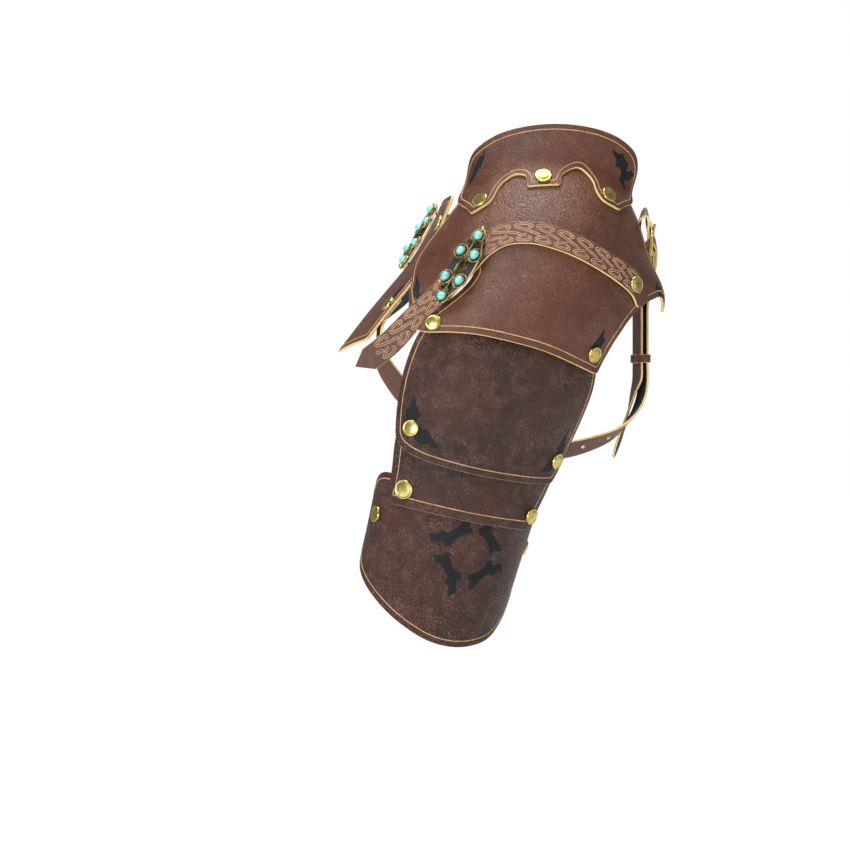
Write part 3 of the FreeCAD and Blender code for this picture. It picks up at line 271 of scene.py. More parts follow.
def rounded(points, step=2.2):
    count = len(points)
    flat = [np.array(p[:2], float) for p in points]
    bends = [(toward(flat[i], flat[i - 1], points[i][2]), flat[i],
              toward(flat[i], flat[(i + 1) % count], points[i][2])) for i in range(count)]
    out = []
    for i, (a, m, b) in enumerate(bends):
        length = np.linalg.norm(m - a) + np.linalg.norm(b - m)
        parts = max(4, int(length / step))
        for t in np.arange(parts) / parts:
            out.append(a * (1 - t) ** 2 + 2 * m * t * (1 - t) + b * t * t)
        after = bends[(i + 1) % count][0]
        parts = max(1, int(np.linalg.norm(after - b) / step))
        for t in np.arange(parts) / parts:
            out.append(b + (after - b) * t)
    return np.array(out)


def circle(u, v, radius, count=16):
    a = np.arange(count) / count * 2 * math.pi
    return np.stack([u + radius * np.cos(a), v + radius * np.sin(a)], axis=-1)


def area(loop):
    x, y = loop.T
    return 0.5 * float(np.sum(x * np.roll(y, -1) - y * np.roll(x, -1)))


def inward(loop):
    across = units(left_of(np.roll(loop, -1, axis=0) - loop))
    return units(across + np.roll(across, 1, axis=0))


def inside(loop, spots):
    x, y = spots[:, 0][:, None], spots[:, 1][:, None]
    a, b = loop, np.roll(loop, -1, axis=0)
    hit = (a[:, 1] > y) != (b[:, 1] > y)
    with np.errstate(divide="ignore", invalid="ignore"):
        cut = a[:, 0] + (y - a[:, 1]) * (b[:, 0] - a[:, 0]) / (b[:, 1] - a[:, 1])
    return np.sum(hit & (x < cut), axis=1) % 2 == 1


def distance_to(loop, spots):
    a = loop[None, :, :]
    b = np.roll(loop, -1, axis=0)[None, :, :]
    p = spots[:, None, :]
    t = np.clip(np.sum((p - a) * (b - a), -1) / np.maximum(np.sum((b - a) ** 2, -1), 1e-9), 0, 1)
    return np.min(np.linalg.norm(p - a - t[..., None] * (b - a), axis=-1), axis=1)


def make_object(name, verts, faces, kinds, materials):
    mesh = bpy.data.meshes.new(name)
    mesh.from_pydata([tuple(v) for v in np.asarray(verts) * MM], [], faces)
    for m in materials:
        mesh.materials.append(m)
    mesh.polygons.foreach_set("material_index", np.array(kinds, np.int32))
    mesh.polygons.foreach_set("use_smooth", np.ones(len(faces), bool))
    mesh.update()
    made = bpy.data.objects.new(name, mesh)
    bpy.context.scene.collection.objects.link(made)
    return made


def placed(made, body, slot, *nodes):
    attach(made, body)
    if nodes:
        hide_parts(*nodes)
    return made


def sheet_piece(name, point, loop, thick, materials, outer=0.0, side=1.0, holes=(), prints=(), step=3.0,
                edge=0.55):
    # A leather piece: front face, rounded edge, back face; prints are areas of the front face.
    loops = [loop if area(loop) > 0 else loop[::-1]]
    loops += [hole if area(hole) < 0 else hole[::-1] for hole in holes]
    inner = [one_loop + inward(one_loop) * edge for one_loop in loops]
    low = loops[0].min(0)
    high = loops[0].max(0)
    gu, gv = np.meshgrid(np.arange(low[0], high[0], step), np.arange(low[1], high[1], step))
    gu = gu + (np.arange(gu.shape[0]) % 2)[:, None] * step / 2
    grid = np.stack([gu.ravel(), gv.ravel()], axis=-1)
    keep = inside(inner[0], grid) & (distance_to(inner[0], grid) > 0.55 * step)
    for hole in inner[1:]:
        keep &= ~inside(hole, grid) & (distance_to(hole, grid) > 0.3 * step)
    points = []
    edges = []
    for line in inner + list(prints):
        start = len(points)
        points += [tuple(p) for p in line]
        edges += [(start + i, start + (i + 1) % len(line)) for i in range(len(line))]
    points += [tuple(p) for p in grid[keep]]
    flat, _, faces, origin, _, _ = geometry.delaunay_2d_cdt([Vector(p) for p in points], edges, [], 0, 1e-4)
    flat = np.array([tuple(p) for p in flat])
    index = {}
    for i, sources in enumerate(origin):
        for source in sources:
            index[source] = i
    centres = np.array([flat[list(face)].mean(0) for face in faces])
    good = inside(inner[0], centres)
    for hole in inner[1:]:
        good &= ~inside(hole, centres)
    printed = np.zeros(len(faces), bool)
    for area_loop in prints:
        printed |= inside(area_loop, centres)
    count = len(flat)
    verts = [lifted(point, *flat.T, height, side) for height in (outer, outer - thick)]
    made_faces = []
    kinds = []
    for face, ok, dark in zip(faces, good, printed):
        if not ok:
            continue
        front = tuple(face[::-1] if side > 0 else face)
        made_faces += [front, tuple(count + k for k in reversed(front))]
        kinds += [3 if dark else 0, 2]
    total = 2 * count
    profile = [(0.5, 0.134), (0.134, 0.5), (0.0, 1.0)]
    rings = [(a * edge, b * edge) for a, b in profile]
    rings += [(a * edge, thick - b * edge) for a, b in reversed(profile)]
    start = 0
    for one_loop in loops:
        number = len(one_loop)
        chain = [[index[start + i] for i in range(number)]]
        for inset, depth in rings:
            ring = one_loop + inward(one_loop) * inset
            verts.append(lifted(point, *ring.T, outer - depth, side))
            chain.append(list(range(total, total + number)))
            total += number
        chain.append([count + k for k in chain[0]])
        start += number
        for level, (a, b) in enumerate(zip(chain, chain[1:])):
            for i in range(number):
                j = (i + 1) % number
                quad = (a[i], a[j], b[j], b[i])
                made_faces.append(quad if side > 0 else quad[::-1])
                kinds.append(0 if level == 0 else (2 if level == len(rings) else 1))
    return make_object(name, np.concatenate(verts), made_faces, kinds, materials)


def inset_line(loop, distance):
    loop = loop if area(loop) > 0 else loop[::-1]
    line = loop + inward(loop) * distance
    return line[distance_to(loop, line) > distance * 0.985]


def resampled(line, step, closed=False):
    line = np.array(line, float)
    if closed:
        line = np.concatenate([line, line[:1]])
    run = np.concatenate([[0], np.cumsum(np.linalg.norm(np.diff(line, axis=0), axis=1))])
    count = max(2, int(run[-1] / step))
    marks = np.linspace(0, run[-1], count + 1)
    out = np.stack([np.interp(marks, run, line[:, 0]), np.interp(marks, run, line[:, 1])], axis=-1)
    return out[:-1] if closed else out


RIDGE = [(-0.5, -0.12), (-0.36, 0.55), (0.0, 1.0), (0.36, 0.55), (0.5, -0.12)]


def ridges(name, point, lines, width, height, made_of, outer=0.0, side=1.0):
    # Thread or tooled lines lying on a surface; lines holds (points, closed).
    verts = []
    faces = []
    total = 0
    for line, closed in lines:
        if len(line) < 3:
            continue
        if closed:
            step = np.roll(line, -1, axis=0) - np.roll(line, 1, axis=0)
        else:
            step = np.gradient(line, axis=0)
        step /= np.maximum(np.linalg.norm(step, axis=-1, keepdims=True), 1e-9)
        for across, up in RIDGE:
            row = line + left_of(step) * across * width
            verts.append(lifted(point, row[:, 0], row[:, 1], outer + up * height, side))
        number = len(line)
        for k in range(len(RIDGE) - 1):
            for i in range(number if closed else number - 1):
                j = (i + 1) % number
                a, b = total + k * number, total + (k + 1) * number
                quad = (a + i, a + j, b + j, b + i)
                faces.append(quad[::-1] if side > 0 else quad)
        total += number * len(RIDGE)
    return make_object(name, np.concatenate(verts), faces, [0] * len(faces), [made_of])


# Solids of revolution, tubes and beads collected in one mesh.
class Shape:
    def __init__(self):
        self.verts = []
        self.faces = []
        self.kinds = []
        self.place = Matrix.Identity(4)
        self.kind = 0

    def add(self, points, faces):
        start = len(self.verts)
        for p in points:
            self.verts.append(tuple(self.place @ Vector(p)))
        for face in faces:
            self.faces.append(tuple(start + i for i in face))
            self.kinds.append(self.kind)

    def lathe(self, profile, count=32, centre=(0, 0)):
        turn = [2 * math.pi * i / count for i in range(count)]
        points = [(centre[0] + r * math.cos(a), centre[1] + r * math.sin(a), z)
                  for r, z in profile for a in turn]
        faces = [(k + i, k + count + i, k + count + (i + 1) % count, k + (i + 1) % count)
                 for k in range(0, (len(profile) - 1) * count, count) for i in range(count)]
        self.add(points, faces)

    def tube(self, path, radius, closed=False, sides=8, flat=1.0):
        path = [Vector(p) for p in path]
        number = len(path)
        points = []
        normal = None
        for i, p in enumerate(path):
            before = path[i - 1] if (closed or i) else p
            after = path[(i + 1) % number] if (closed or i + 1 < number) else p
            tangent = (after - before).normalized()
            up = Vector((0, 0, 1)) if abs(tangent.z) < 0.9 else Vector((1, 0, 0))
            if normal is None:
                normal = up
            normal = (normal - tangent * normal.dot(tangent)).normalized()
            if not closed and abs(tangent.z) < 0.9:
                normal = (up - tangent * up.dot(tangent)).normalized()
            side = tangent.cross(normal)
            r = radius(i / (number - 1)) if callable(radius) else radius
            for k in range(sides):
                a = 2 * math.pi * k / sides
                points.append(tuple(p + side * math.cos(a) * r + normal * math.sin(a) * r * flat))
        faces = []
        for i in range(number if closed else number - 1):
            a, b = i * sides, ((i + 1) % number) * sides
            for k in range(sides):
                m = (k + 1) % sides
                faces.append((a + k, b + k, b + m, a + m))
        if not closed:
            faces.append(tuple(range(sides)))
            faces.append(tuple((number - 1) * sides + k for k in reversed(range(sides))))
        self.add(points, faces)

    def bead(self, x, y, z, r, count=8, rings=4):
        points = [(x, y, z + r)]
        for k in range(1, rings):
            a = math.pi * k / rings
            for i in range(count):
                b = 2 * math.pi * i / count
                points.append((x + r * math.sin(a) * math.cos(b), y + r * math.sin(a) * math.sin(b),
                               z + r * math.cos(a)))
        points.append((x, y, z - r))
        faces = [(0, 1 + i, 1 + (i + 1) % count) for i in range(count)]
        for k in range(rings - 2):
            a, b = 1 + k * count, 1 + (k + 1) * count
            faces += [(a + i, b + i, b + (i + 1) % count, a + (i + 1) % count) for i in range(count)]
        last = len(points) - 1
        a = last - count
        faces += [(last, a + (i + 1) % count, a + i) for i in range(count)]
        self.add(points, faces)

    def done(self, name, materials):
        return make_object(name, self.verts, self.faces, self.kinds, materials)


def placement(origin, out, along=None):
    z = Vector(out).normalized()
    hint = Vector(along or ((0, 0, 1) if abs(z.z) < 0.9 else (1, 0, 0)))
    x = (hint - z * hint.dot(z)).normalized()
    y = z.cross(x)
    return Matrix.Translation(Vector(origin)) @ Matrix((x, y, z)).transposed().to_4x4()


# Materials.
def colour(text):
    parts = [int(text[i:i + 2], 16) / 255 for i in (0, 2, 4)]
    return tuple(((k + 0.055) / 1.055) ** 2.4 if k > 0.04 else k / 12.92 for k in parts) + (1.0,)


class Nodes:
    def __init__(self, name, **settings):
        self.material = bpy.data.materials.new(name)
        self.material.use_nodes = True
        self.tree = self.material.node_tree
        self.shader = self.tree.nodes["Principled BSDF"]
        for key, value in settings.items():
            self.shader.inputs[key.replace("_", " ")].default_value = value
        self.coordinates = self.new("ShaderNodeTexCoord").outputs["Object"]

    def new(self, kind, **inputs):
        node = self.tree.nodes.new(kind)
        for key, value in inputs.items():
            self.put(node.inputs[key.replace("_", " ")], value)
        return node

    def put(self, socket, value):
        if isinstance(value, bpy.types.NodeSocket):
            self.tree.links.new(value, socket)
        else:
            socket.default_value = colour(value) if isinstance(value, str) else value

    def noise(self, scale, detail=3.0, distortion=0.0, stretch=None, turn=(0, 0, 0)):
        where = self.coordinates
        if stretch:
            where = self.new("ShaderNodeMapping", Vector=where, Rotation=turn).outputs[0]
            where = self.new("ShaderNodeMapping", Vector=where, Scale=stretch).outputs[0]
        return self.new("ShaderNodeTexNoise", Vector=where, Scale=scale, Detail=detail,
                        Distortion=distortion).outputs[0]

    def cells(self, scale, wobble):
        # Distance to the walls of wobbly cells.
        shift = self.new("ShaderNodeTexNoise", Vector=self.coordinates, Scale=scale * 0.5, Detail=2.0)
        added = self.new("ShaderNodeVectorMath")
        added.operation = "MULTIPLY_ADD"
        self.put(added.inputs[0], shift.outputs[1])
        added.inputs[1].default_value = (wobble, wobble, wobble)
        self.put(added.inputs[2], self.coordinates)
        node = self.new("ShaderNodeTexVoronoi", Vector=added.outputs[0], Scale=scale)
        node.feature = "DISTANCE_TO_EDGE"
        return node.outputs["Distance"]

    def ramp(self, value, *stops):
        node = self.new("ShaderNodeValToRGB", Fac=value)
        points = node.color_ramp.elements
        while len(points) < len(stops):
            points.new(0.5)
        for point, (place, tint) in zip(points, stops):
            point.position = place
            point.color = colour(tint) if isinstance(tint, str) else (tint, tint, tint, 1)
        return node.outputs[0]

    def mix(self, factor, a, b):
        node = self.tree.nodes.new("ShaderNodeMix")
        node.data_type = "RGBA"
        self.put(node.inputs[0], factor)
        self.put(node.inputs[6], a)
        self.put(node.inputs[7], b)
        return node.outputs[2]

    def sum(self, a, b, factor=1.0):
        node = self.new("ShaderNodeMath")
        node.operation = "MULTIPLY_ADD"
        self.put(node.inputs[0], b)
        node.inputs[1].default_value = factor
        self.put(node.inputs[2], a)
        return node.outputs[0]

    def bump(self, height, distance, strength=1.0):
        node = self.new("ShaderNodeBump", Height=height, Distance=distance, Strength=strength)
        self.put(self.shader.inputs["Normal"], node.outputs[0])

    def finish(self, base, rough=None):
        self.put(self.shader.inputs["Base Color"], base)
        if rough is not None:
            self.put(self.shader.inputs["Roughness"], rough)
        return self.material


def leather_material(name, dark, light, glint, relief, rough, glint_share=0.35, shine=0.5):
    n = Nodes(name, Specular_IOR_Level=shine)
    tone = n.ramp(n.noise(12.0, 4.0), (0.32, dark), (0.68, light))
    pebble = n.cells(620.0, 0.0009)
    creases = n.noise(190.0, 5.0, 0.5, (2.6, 1.0, 1.0), (0, 0.7, 0))
    grain = n.noise(720.0, 3.0, 0.3)
    # Darker in the low grooves of the creases: painted shade.
    tone = n.mix(n.ramp(creases, (0.38, 0.45), (0.52, 0.0)), tone, dark)
    # Pale flecks on the grain's raised spots, in patches: painted highlight standing in for glints of light.
    glint_patches = n.ramp(n.noise(90.0, 4.0), (0.46, 0.0), (0.62, glint_share))
    glinted = n.mix(n.ramp(grain, (0.46, 0.0), (0.62, 1.0)), tone, glint)
    tone = n.mix(glint_patches, tone, glinted)
    # Darker along the walls of the pebble cells, the grain's low grooves: painted shade.
    tone = n.mix(n.ramp(pebble, (0.0, 0.5), (0.08, 0.0)), tone, dark)
    height = n.sum(n.ramp(pebble, (0.0, 0.0), (0.2, 1.0)), grain, 1.4)
    n.bump(n.sum(height, n.ramp(creases, (0.35, 0.0), (0.62, 1.0)), 1.2), relief, 1.0)
    patches = n.noise(26.0, 3.0)
    return n.finish(tone, n.ramp(patches, (0.34, rough[0]), (0.68, rough[1])))


plate_leather = leather_material("plate_leather", "472415", "603422", "865b44", 0.00014, (0.32, 0.44), 0.4)
lame_leather = leather_material("lame_leather", "26110a", "472213", "7d5850", 0.0003, (0.24, 0.34), 0.5, 0.45)
strap_leather = leather_material("strap_leather", "4c2c20", "684031", "80594a", 0.00012, (0.4, 0.55))


def edge_material(name, pale, brown):
    n = Nodes(name, Roughness=0.62)
    patch = n.noise(160.0, 4.0)
    fibre = n.noise(1800.0, 2.0)
    tone = n.ramp(patch, (0.3, pale), (0.66, pale), (0.86, brown))
    tone = n.mix(n.ramp(fibre, (0.4, 0.0), (0.7, 0.35)), tone, brown)
    n.bump(fibre, 0.00015, 0.6)
    return n.finish(tone)


cream_edge = edge_material("cream_edge", "eccf8e", "a77a48")
brown_edge = edge_material("brown_edge", "a98a72", "50342b")


def back_material():
    n = Nodes("inner_face", Roughness=0.85)
    nap = n.noise(700.0, 4.0)
    tone = n.ramp(nap, (0.3, "17171a"), (0.7, "2b2a2c"))
    n.bump(nap, 0.0002, 0.5)
    return n.finish(tone)


def print_material():
    n = Nodes("black_print", Specular_IOR_Level=0.25)
    cells = n.cells(900.0, 0.0005)
    grain = n.noise(240.0, 4.0)
    tone = n.ramp(grain, (0.3, "0b0f11"), (0.75, "1a2022"))
    n.bump(n.sum(n.ramp(cells, (0.0, 0.0), (0.2, 1.0)), grain, 1.0), 0.0002, 0.8)
    return n.finish(tone, n.ramp(grain, (0.3, 0.5), (0.7, 0.65)))


def thread_material(name, pale, brown):
    n = Nodes(name, Roughness=0.6)
    twist = n.noise(1400.0, 3.0)
    tone = n.ramp(twist, (0.3, brown), (0.6, pale))
    tone = n.mix(n.ramp(n.noise(120.0, 2.0), (0.45, 0.0), (0.75, 0.5)), tone, brown)
    n.bump(twist, 0.0002, 0.8)
    return n.finish(tone)


inner_face = back_material()
black_print = print_material()
thread = thread_material("thread", "e2ba80", "9a6c40")
tooling = thread_material("tooling", "d9b38a", "8f6449")


def brass_material(name, bright, dull, dark, rough, spots=0.35):
    n = Nodes(name, Metallic=1.0)
    patch = n.noise(140.0, 4.0, 0.4)
    fine = n.noise(900.0, 3.0)
    tone = n.ramp(patch, (0.3, dull), (0.65, bright))
    tone = n.mix(n.ramp(fine, (0.55, 0.0), (0.8, spots)), tone, dark)
    n.bump(n.sum(patch, fine, 0.3), 0.00025, 0.5)
    return n.finish(tone, n.ramp(patch, (0.3, rough + 0.12), (0.7, rough)))


rivet_brass = brass_material("rivet_brass", "e0d48c", "a2913f", "5d5022", 0.2)
buckle_brass = brass_material("buckle_brass", "dcc878", "9c8844", "54471f", 0.24)
antique_brass = brass_material("antique_brass", "6b6248", "37311f", "100f0c", 0.36, 0.8)
antique_bright = brass_material("antique_bright", "c9c096", "7d7348", "26221a", 0.28, 0.6)


def stone_material():
    n = Nodes("turquoise_stone", Roughness=0.16, Coat_Weight=0.5, Coat_Roughness=0.05)
    cloud = n.noise(330.0, 4.0, 0.5)
    vein = n.cells(420.0, 0.0015)
    tone = n.ramp(cloud, (0.3, "4fc4c0"), (0.7, "93e6de"))
    tone = n.mix(n.ramp(vein, (0.0, 0.55), (0.05, 0.0)), tone, "3a6b62")
    n.bump(n.ramp(vein, (0.0, 0.0), (0.06, 1.0)), 0.0001, 0.4)
    return n.finish(tone)


stone = stone_material()
FACE = [plate_leather, cream_edge, inner_face, black_print]
LAME = [lame_leather, brown_edge, inner_face, black_print]
BELT = [strap_leather, cream_edge, inner_face, black_print]


def barb(start, tip, width, hand=1):
    # An angular spike from start to tip with a stepped flank.
    a = np.array(start, float)
    along = np.array(tip, float) - a
    across = np.array([-along[1], along[0]]) / np.linalg.norm(along) * width * hand
    shape = [(0.0, -0.4), (0.3, -0.42), (0.42, -0.62), (0.62, -0.34), (1.0, 0.0), (0.62, 0.16), (0.5, 0.42),
             (0.22, 0.3), (0.0, 0.38)]
    return np.array([a + along * s + across * t for s, t in shape])


def ring_prints(u, v):
    # Four angular pieces round a bare disc.
    shape = [(17, 2.5), (22, 1.5), (24, 5), (33, 2.5), (38, 9), (30, 10), (27, 14), (22, 12.5), (17.5, 17),
             (14, 22), (12, 26), (7, 29), (6.5, 22), (3, 19), (2.5, 17), (8, 15), (13, 11.5), (16, 7)]
    turns = [(math.cos(a), math.sin(a)) for a in np.radians([0, 90, 180, 270])]
    return [np.array([(u + x * c - y * s, v + x * s + y * c) for x, y in shape]) for c, s in turns]


# Plates.
PLATES = [
    ("shoulder_cap", cap_point, CAP_OUTLINE, FACE, "plate_leather", "root", 1.0, 5.2, [
        barb((-104, 132), (-120, 92), 11), barb((-103, 134), (-84, 124), 11, -1),
        barb((108, 101), (126, 109), 9), barb((-70, 160), (-75, 144), 9), barb((74, 162), (63, 144), 11),
    ]),
    ("neck_collar", collar_point, COLLAR_OUTLINE, FACE, "plate_leather", "root", -1.0, 4.6, [
        barb((-92, 52), (-76, 65), 9), barb((-91, 54), (-97, 36), 9, -1),
        barb((92, 54), (64, 63), 10, -1), barb((90, 56), (100, 37), 11), barb((96, 50), (113, 55), 8),
    ]),
    ("upper_lame", upper_point, UPPER_OUTLINE, LAME, "lame_leather", "upper_lame", 1.0, 5.2, [
        barb((-61, 106), (-63, 79), 14, -1), barb((-60, 107), (-30, 117), 13),
        barb((86, 107), (80, 79), 11), barb((85, 107), (65, 119), 10, -1),
    ]),
    ("middle_lame", middle_point, MIDDLE_OUTLINE, LAME, "lame_leather", "middle_lame", 1.0, 7.2, []),
    ("lower_cuff", cuff_point, CUFF_OUTLINE, LAME, "lame_leather", "lower_cuff", 1.0, 5.2,
     ring_prints(12.8, 61)),
    ("chest_plate", chest_point, CHEST_OUTLINE, FACE, "plate_leather", "root", -1.0, 5.2, [
        barb((24, 26), (17, 8), 9), barb((26, 108), (22, 82), 12),
    ]),
]
for name, point, outline, materials, slot, body, side, inset, prints in PLATES:
    loop = rounded(outline)
    made = sheet_piece(name + "_leather", point, loop, LEATHER, materials, 0.0, side, (), prints)
    placed(made, body, slot, name)
    line = resampled(inset_line(loop, inset), 1.5, True)
    placed(ridges(name + "_stitching", point, [(line, True)], 0.75, 0.3, thread, 0.0, side), body, slot)


# Straps: along each end, the distance from the end, the half width there and the corner's radius.
POINTED_END = [(14, WIDTH / 2, 8), (4, 5.5, 5), (0.5, 0, 2.5), (4, -5.5, 5), (14, -WIDTH / 2, 8)]
CUT_END = [(16, WIDTH / 2, 1), (1.5, 1.5, 1), (15, -WIDTH / 2, 1)]


def end_corners(end):
    # A number is the radius of a square end's corners.
    return end if isinstance(end, list) else [(0, WIDTH / 2, end), (0, -WIDTH / 2, end)]


def band(length, ends):
    corners = end_corners(ends[0]) + [(length - x, -y, r) for x, y, r in end_corners(ends[1])]
    return rounded(corners, 2.0)


def strap_piece(name, stations, ends, body="root", holes=(), step=2.5):
    rows = ribbon_rows(stations)
    made = sheet_piece(name + "_leather", ribbon_point(rows), band(rows[-1][0], ends), STRAP, BELT, STRAP / 2,
                       -1.0, [circle(u, 0, STRAP_HOLE) for u in holes], (), step, 0.45)
    placed(made, body, "strap_leather", name)
    return rows


strip_path = [
    (90, 119, -16, -10, 0.5), (76, 108.5, -26, -11, 0.5), (64, 103.2, -28, -13, 0.45),
    (51, 97.5, -30, -15, 0.4), (18, 82.5, -30, -12, 0.2), (-8, 76, -26, -2, 0.2), (-30, 78, -20, 9, 0.2),
    (-48, 89, -13, 15, 0.2), (-59, 102.5, -11, 17, 0.2),
]
strip_rows = strap_piece("knotwork_strip", [
    station(cap_point, 1.0, u, v, du, dv, gap + STRAP / 2) for u, v, du, dv, gap in strip_path
] + [
    station(cap_point, 1.0, -69.5, 118.5, -10, 15, 1.6, 14),
    station(cap_point, 1.0, -78, 134.5, -9.5, 12, 1.2, 26),
    station(cap_point, 1.0, -87.5, 147, -10, 11, -0.6, 26),
    ((-128.5, -77, -127.5), (0.6, 0.05, -0.8)),
    ((-155.1, -66.8, -146.7), (0.55, 0.1, -0.83)),
], (8.0, CUT_END))


def broken(centre, under):
    # Two lines along a strand, left out where another strand crosses over it.
    left = left_of(units(np.gradient(centre, axis=0)))
    lines = []
    for offset in (0.8, -0.8):
        piece = []
        for p, hidden in zip(centre + left * offset, under):
            if not hidden:
                piece.append(p)
            if (hidden or p is centre[-1]) and len(piece) > 3:
                lines.append((np.array(piece), False))
            if hidden:
                piece = []
        if len(piece) > 3:
            lines.append((np.array(piece), False))
    return lines


def knotwork(length, start, half, period):
    # Two interlaced strands that loop over themselves along both edges.
    lines = []
    s = np.arange(start, length, 0.4)
    phase = 2 * math.pi * s / period
    swing = 0.3 * period
    for hand in (1, -1):
        centre = np.stack([s + swing * np.sin(2 * phase), hand * half * np.sin(phase)], axis=-1)
        turn = np.round(phase / math.pi)
        middle = np.abs(phase - turn * math.pi) < 0.18
        loop = (np.floor(phase / math.pi) + 0.5) * math.pi
        crossed = np.abs(phase - loop - 1.2) < 0.12
        under = (middle & (turn % 2 == (0 if hand > 0 else 1))) | crossed
        lines += broken(centre, under)
    return lines


placed(ridges("strip_knotwork", ribbon_point(strip_rows), knotwork(strip_rows[-1][0] - 24, 14, 7.4, 33.0),
              0.6, 0.22, tooling, STRAP / 2, -1.0), "root", "strap_leather")

under_plate = -LEATHER - 0.4 - STRAP / 2
bridge_start = laid(cap_point, 1.0, under_plate, (-106, 44, -10, 0), (-116, 44, -10, 0),
                    (-127, 43, -10, -1))
bridge_end = laid(chest_point, -1.0, under_plate, (14, 28, 10, -1), (22, 27, 10, -1), (33, 26, 10, -1))
bridge_middle = ((-80.0, -1, -27.0), (-0.5, -0.2, -0.84))
strap_piece("chest_bridge", bridge_start + [bridge_middle] + bridge_end, (5.0, 5.0))

back_place = placement((90.5, 5, -44), (1, 0, 0), (0, -0.5, 0.866))
ring_turn = math.radians(16.7)
ring_place = placement((85.8, 45, -69), (-math.cos(ring_turn), -math.sin(ring_turn), 0), (0, 0, -1))
arm_place = placement((-62, 32.5, -283.2), (0.03, 1, -0.03), (-0.972, 0.04, 0.23))


def local(place, x, y, z):
    return tuple(place @ Vector((x, y, z)))


def turned(place, x, y, z):
    return tuple(place.to_3x3() @ Vector((x, y, z)))


def billet_stations(place, tail, lead):
    across = turned(place, 0, -1, 0)
    low = -BAR - STRAP / 2 - 0.45
    high = OVER_CHAPE + STRAP / 2 + 0.2
    path = [(28 + lead, low), (23.5, low), (20.5, low), (17, low + 0.7), (12.5, low + 3), (8, high - 2.2),
            (3, high - 0.3), (-2, high), (-12, high), (-tail, high)]
    return [(local(place, x, 0, z), across) for x, z in path]


back_start = laid(cap_point, -1.0, 4.4, (98, 68, 8, -10), (105, 59, 8, -10), (112, 50, 8, -10))
strap_piece("back_strap", back_start + [
    ((80.0, -8, -24.5), (0.22, 0.93, 0.2)),
    ((83.0, -8, -17.0), (0.1, 0.94, 0.33)),
    ((86.2, -8.2, -14.6), (0, 0.9, 0.42)),
] + billet_stations(back_place, 22, 0.5), (1.0, POINTED_END), step=1.6)

strap_piece("cross_strap", [
    ((90.5, y, -56.5), (0, 0, 1)) for y in (-3, 5, 14, 24)
] + [
    (local(ring_place, CHAPE_RIVET, y, 0), (0, 0, 1)) for y in (11, 4, -4, -11)
] + [
    ((71, 95, -63), (0, 0, 1)),
    ((68, 140, -66), (0, 0, 1)),
    ((58, 190, -74), (-0.05, 0, 1)),
    ((36, 233, -86), (-0.1, 0.05, 1)),
    ((4, 258, -95), (-0.05, 0.1, 1)),
    ((-34, 262, -97), (0, 0.1, 1)),
    ((-68, 246, -90), (0.1, 0.1, 1)),
    ((-90, 221, -76), (0.3, 0.05, 1)),
] + laid(chest_point, -1.0, under_plate, (190, 59, -10, 0), (176, 60, -10, 0), (164, 60, -10, 0)),
            (3.0, 5.0))

BEND = 2.62
RING_REACH = REACH * 0.7


def hang(x, z):
    return (local(ring_place, x, 0, z), turned(ring_place, 0, -1, 0))


def ring_station(angle, drop):
    q = math.radians(angle)
    return hang(RING_REACH - BEND * math.sin(q) + drop, BEND * math.cos(q))


underarm_stations = [
    ((63, 58, -221), (0.2, 0.97, 0)),
    ((69, 58, -203), (0.2, 0.97, 0)),
    ((75.5, 56, -183), (0.1, 0.98, 0)),
    ((80, 51.5, -165), (-0.1, 0.98, 0)),
    hang(83, BEND + 0.2),
] + [hang(x, BEND) for x in (72, 60, 42)] + [ring_station(0, 12)] + [
    ring_station(angle, 0) for angle in (0, 45, 90, 135, 180)
] + [ring_station(180, 12)] + [hang(x, -BEND) for x in (42, 60, 72)] + [
    hang(84, -BEND - 0.2),
    ((85.6, 42.5, -170), (-0.3, 0.95, -0.1)),
    ((77.5, 40, -186), (-0.3, 0.92, -0.3)),
    ((64.5, 37, -198.5), (-0.2, 0.88, -0.45)),
    ((44, 34, -207.5), (-0.08, 0.82, -0.58)),
    ((22, 32, -213), (0, 0.76, -0.65)),
    ((-8, 32, -215.5), (0, 0.76, -0.65)),
    ((-42, 30, -212), (-0.1, 0.76, -0.65)),
    ((-74, 25, -200.5), (-0.3, 0.72, -0.62)),
    ((-101, 18, -181), (-0.5, 0.64, -0.57)),
    ((-122, 13, -157), (-0.62, 0.58, -0.53)),
    ((-133.5, 14, -138), (-0.5, 0.78, -0.4)),
    ((-136.5, 18.5, -121), (-0.2, 0.96, -0.1)),
] + laid(chest_point, -1.0, under_plate, (24, 122, 0, -10), (24, 112, 0, -10), (24, 102, 0, -10))
turn_at = ribbon_rows(underarm_stations)[21][0]
strap_piece("underarm_strap", underarm_stations, (POINTED_END, 1.0), "root",
            (24, 44, turn_at + 8, turn_at + 31), 1.5)


cuff_start = laid(cuff_point, 1.0, under_plate,
                  *[(u, ARM_ROW, -10, 0) for u in (-76, -90, -104, -120, -140)])
strap_piece("arm_strap", cuff_start + [
    ((-127.5, 13, -267.5), (-0.2, 0, -0.98)),
    ((-112, 25.5, -271.3), (-0.22, 0, -0.97)),
] + billet_stations(arm_place, 26, -1), (1.0, POINTED_END), "lower_cuff", step=1.8)
cuff_end = laid(cuff_point, 1.0, under_plate, *[(u, ARM_ROW, 10, 0) for u in (92, 105, 120)])
strap_piece("arm_rear_strap", cuff_end + [
    ((-26.5, 9, -290.5), (0.2, 0, 0.98)),
    ((-33.5, 23, -289), (0.2, 0, 0.98)),
] + [
    (local(arm_place, x, 0, 0), turned(arm_place, 0, 1, 0)) for x in (-22, -16, -10, -6)
], (5.0, 1.0), "lower_cuff", step=1.8)


